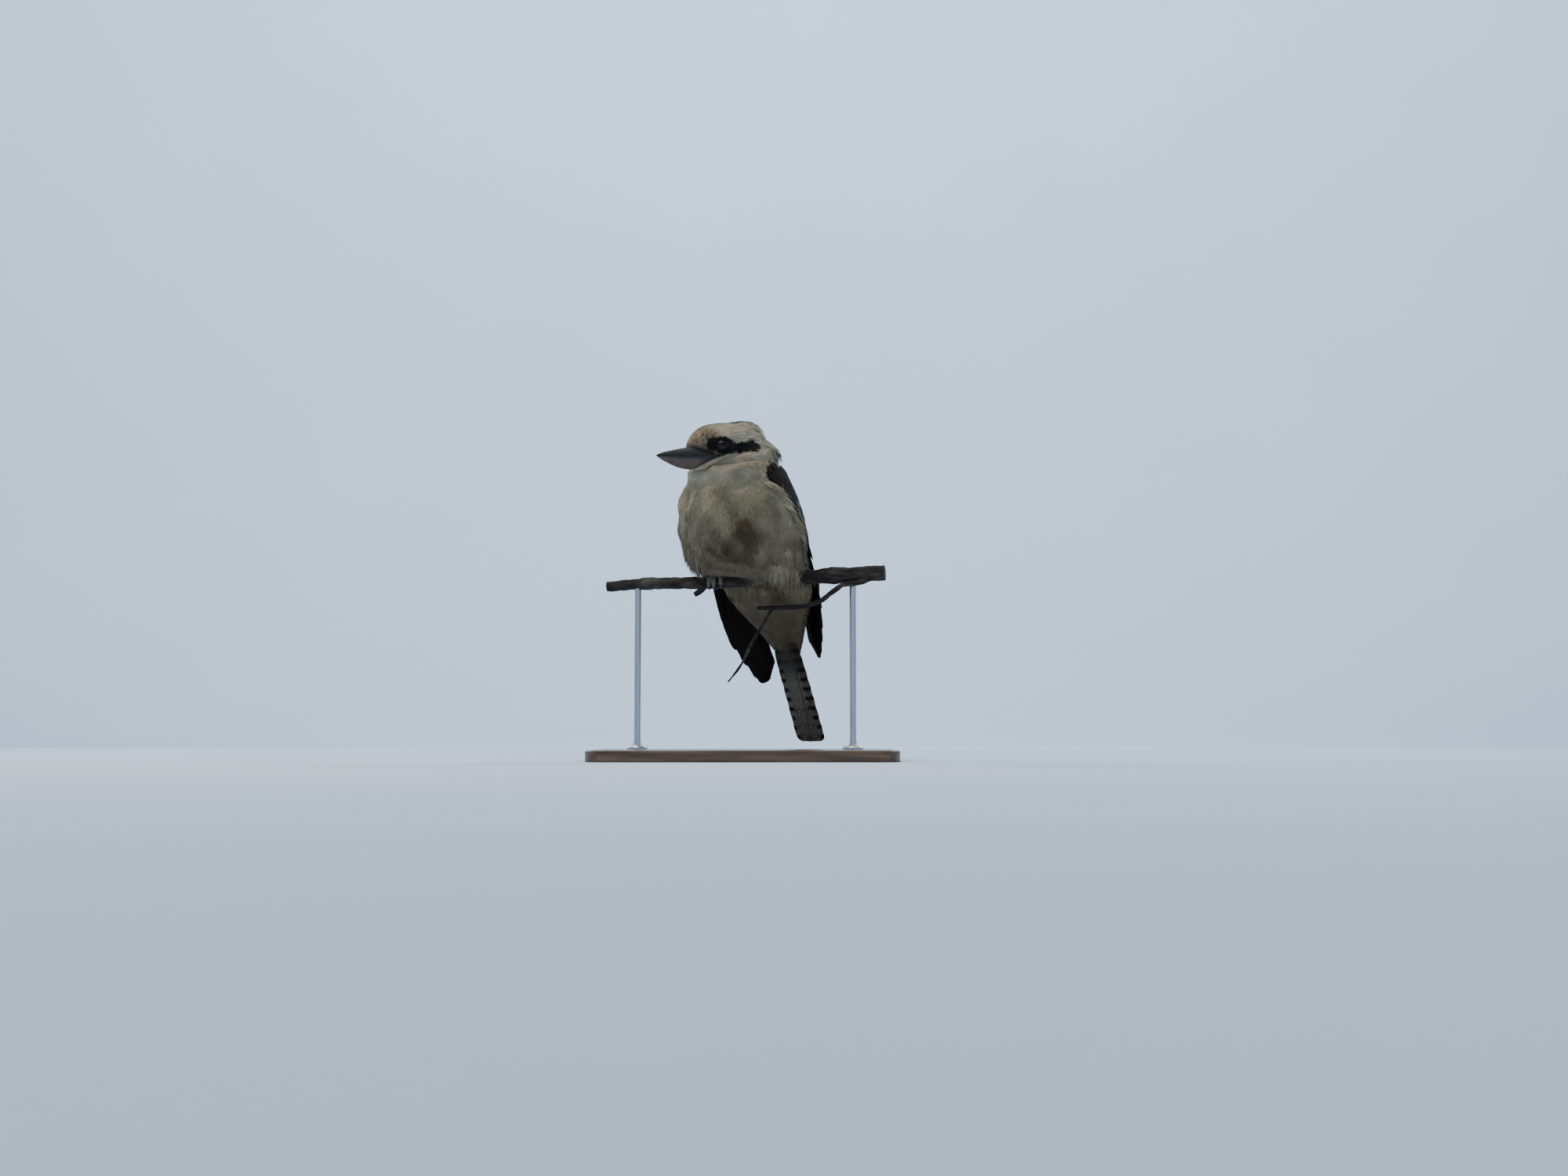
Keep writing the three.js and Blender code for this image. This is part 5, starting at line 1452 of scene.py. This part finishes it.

# Bill
# A heavy two-edged bill with the upper half blackish under a painted grey sheen along its top, and the lower
# one horn-brown, dark round the gape and along its edges, partly as painted shade in the line of the mouth.
# The halves close on a slightly sagging line under the eye; the nostril is darkened with painted shade.
upper_station = run([  # back from the tip, height, half width
    (0, 0.5, 0.5), (4, 2.4, 1.9), (12, 4.8, 3.9), (26, 7.8, 6.6), (42, 10.4, 9.6), (56, 12, 13.4),
    (68, 11, 18), (75, 6, 21.5)])
lower_station = run([
    (1.5, 0.5, 0.5), (5, 2.4, 1.7), (12, 5.4, 3.5), (26, 10, 6.2), (40, 12.4, 9), (51, 11.8, 12),
    (62, 8, 16), (75, 3.5, 20.6)])
bill_rings, bill_sides, mouth_sides = 110, 41, 9
horn_black = np.array((0.022, 0.02, 0.02))
painted_sheen_grey = np.array((0.075, 0.075, 0.08))
horn_brown = np.array((0.13, 0.085, 0.066))


def half_bill(name, station, side):
    share = np.linspace(0, 1, bill_rings)[:, None] ** 1.15
    back, high, wide = np.moveaxis(station(share), -1, 0)
    angle = np.linspace(0, math.pi, bill_sides)[None]
    left = wide * squared(np.cos(angle), 0.85)
    rise = high * np.sin(angle) ** 1.15
    flat = np.linspace(-1, 1, mouth_sides + 2)[None, 1:-1]
    left = np.concatenate([left, wide * flat], 1)
    rise = np.concatenate([rise, np.maximum(0, 0.12 * high * (1 - np.abs(flat) ** 3)) - 0.35], 1)
    sag = 1.2 * np.sin(math.pi * back / 80)
    forward = bill_tip - back + 0 * left
    up = mouth_up - sag + side * (0.15 + rise)
    slit = hump(forward, 40, 3.4) * hump(up + 5.2, 0.25 * (forward - 40), 0.8) * (side > 0)  # the nostril
    left = left * (1 - 0.16 * slit)
    places = from_head(forward, left, up)
    piece = lofted(name, places, bill_rings, bill_sides + mouth_sides)
    turn_faces(piece)
    bpy.ops.object.shade_smooth_by_angle(angle=math.radians(50))
    streak = 0.5 + 0.5 * ripple(places.reshape(-1, 3) * MM * [1, 1, 2.5], (9, 4), 5)
    round_side = np.concatenate([np.sin(angle) + 0 * back, 0 * (back + flat)], 1).ravel()
    ridge = round_side ** 3
    back = (back + 0 * left).ravel()
    if side > 0:
        # painted sheen: grey along the rounded top of the upper half, where it catches the light
        painted_sheen = ridge * (0.35 + 0.5 * streak) * smoothstep(back, 4, 30)
        tones = mix(horn_black, painted_sheen_grey, np.clip(painted_sheen, 0, 1))
        # painted shade inside the nostril
        tones = mix(tones, horn_black * 0.3, slit.ravel())
    else:
        # darker along the edges where the halves close: partly the horn's own dark edge, partly painted
        # shade in the line of the mouth
        rim = 0.8 * (1 - smoothstep(round_side, 0.1, 0.42))
        keel = smoothstep(ridge, 0.75, 1) * smoothstep(back, 20, 45) * 0.6
        ends = smoothstep(back, 46, 58) + (1 - smoothstep(back, 1, 6)) * 0.8
        dark = np.clip(rim + keel + ends + 0.12 * (streak - 0.5), 0, 1)
        tones = mix(horn_brown * (0.8 + 0.35 * streak)[:, None], horn_black * 1.4, dark)
    paint(piece, np.clip(tones, 0.004, 1))
    return piece


horn = Finish("bill_horn", (0.05, 0.05, 0.05), 0.42, Specular_IOR_Level=0.35)
scuffs = horn.noise(700, 6, (1, 1, 3))
horn.coat(horn.mix("MULTIPLY", 0.35, horn.tint(), horn.ramp(scuffs, (0.25, 0.55), (0.75, 1))))
horn.bump(scuffs, 0.12, 0.0003)
dress(half_bill("upper_bill", upper_station, 1), horn, "upper_bill", ["bill_upper"])
dress(half_bill("lower_bill", lower_station, -1), horn, "lower_bill", ["bill_lower"])

# Feet
# Short grey scaly toes close round the branch, the two outer front ones joined at their base,
# with a row of scutes along the top of each and a short shank that goes up into the belly.
toes = {  # shift of the root and further shift of the tip along the branch, then their angles
    "inner": (-5.6, -2, 96, -22), "middle": (0.4, 0, 96, -36), "outer": (4.8, 1, 96, -30),
    "hind": (-1.2, 0, 84, 196)}
toe_off = 3.3
toe_radii = (3.2, 2.4, 2.4, 2.4, 2.2, 1.8)
toe_rings, toe_scutes = 90, 11
toe_skin = Finish("toe_skin", (0.3, 0.28, 0.24), 0.55)
scale_cells = toe_skin.add("ShaderNodeTexVoronoi", Scale=900)
toe_skin.join(toe_skin.place(), scale_cells.inputs["Vector"])
toe_scales = scale_cells.outputs["Distance"]
toe_skin.coat(toe_skin.ramp(toe_scales, (0.1, (0.2, 0.18, 0.15)), (0.6, (0.09, 0.08, 0.065))))
toe_skin.bump(toe_scales, -0.5, 0.0003)
claw_horn = Finish("claw_horn", (0.022, 0.019, 0.017), 0.35)
claw_grain = claw_horn.noise(900, 3)
claw_horn.coat(claw_horn.ramp(claw_grain, (0.3, (0.014, 0.012, 0.011)), (0.7, (0.05, 0.043, 0.036))))
for name, (side, along) in feet.items():
    pieces = []
    for toe, (shift, spread, start, end) in toes.items():
        shares = np.linspace(0, 1, toe_rings)
        path = np.array([round_branch(along + side * (shift + spread * share), start + (end - start) * share,
                                      toe_off - 0.35) for share in shares])
        thick = even_path([[radius] for radius in toe_radii], toe_rings)[:, 0]
        scutes = 0.07 * np.abs(np.sin(shares * math.pi * toe_scutes))
        thick = thick * (1 + scutes + 0.09 * hump(shares, 0.55, 0.07))
        pieces.append(tube(f"toe_{toe}", path * MM, thick * MM, 7))
        way = 1 if end > start else -1
        x = along + side * (shift + spread)
        hook = [round_branch(x, end + way * turn, 3.1 - 0.25 * k) for k, turn in enumerate((-4, 10, 26, 40))]
        claw = limb(f"claw_{name}_{toe}", hook, [1.75, 1.5, 1, 0.3], 30, 6)
        dress(claw, claw_horn, f"talon_{name}_{toe}", [f"claw_{name}_{toe}"])
    shank_path = [round_branch(along, 92, toe_off + rise) for rise in (0, 6, 12, 20)]
    pieces.append(limb("shank", shank_path, [4.2, 3.8, 3.4, 3.2], 40, 7))
    pieces.append(sphere("knuckle", round_branch(along, 92, toe_off + 0.6), 4.7, (0, 0, 1), 24, 16))
    foot = join_pieces(pieces)
    finish_with(foot, "REMESH", mode="VOXEL", voxel_size=0.45 * MM)
    finish_with(foot, "SMOOTH", factor=0.5, iterations=2)
    bpy.ops.object.shade_smooth()
    dress(foot, toe_skin, f"toes_{name}", [f"foot_{name}"])

bpy.context.view_layer.update()
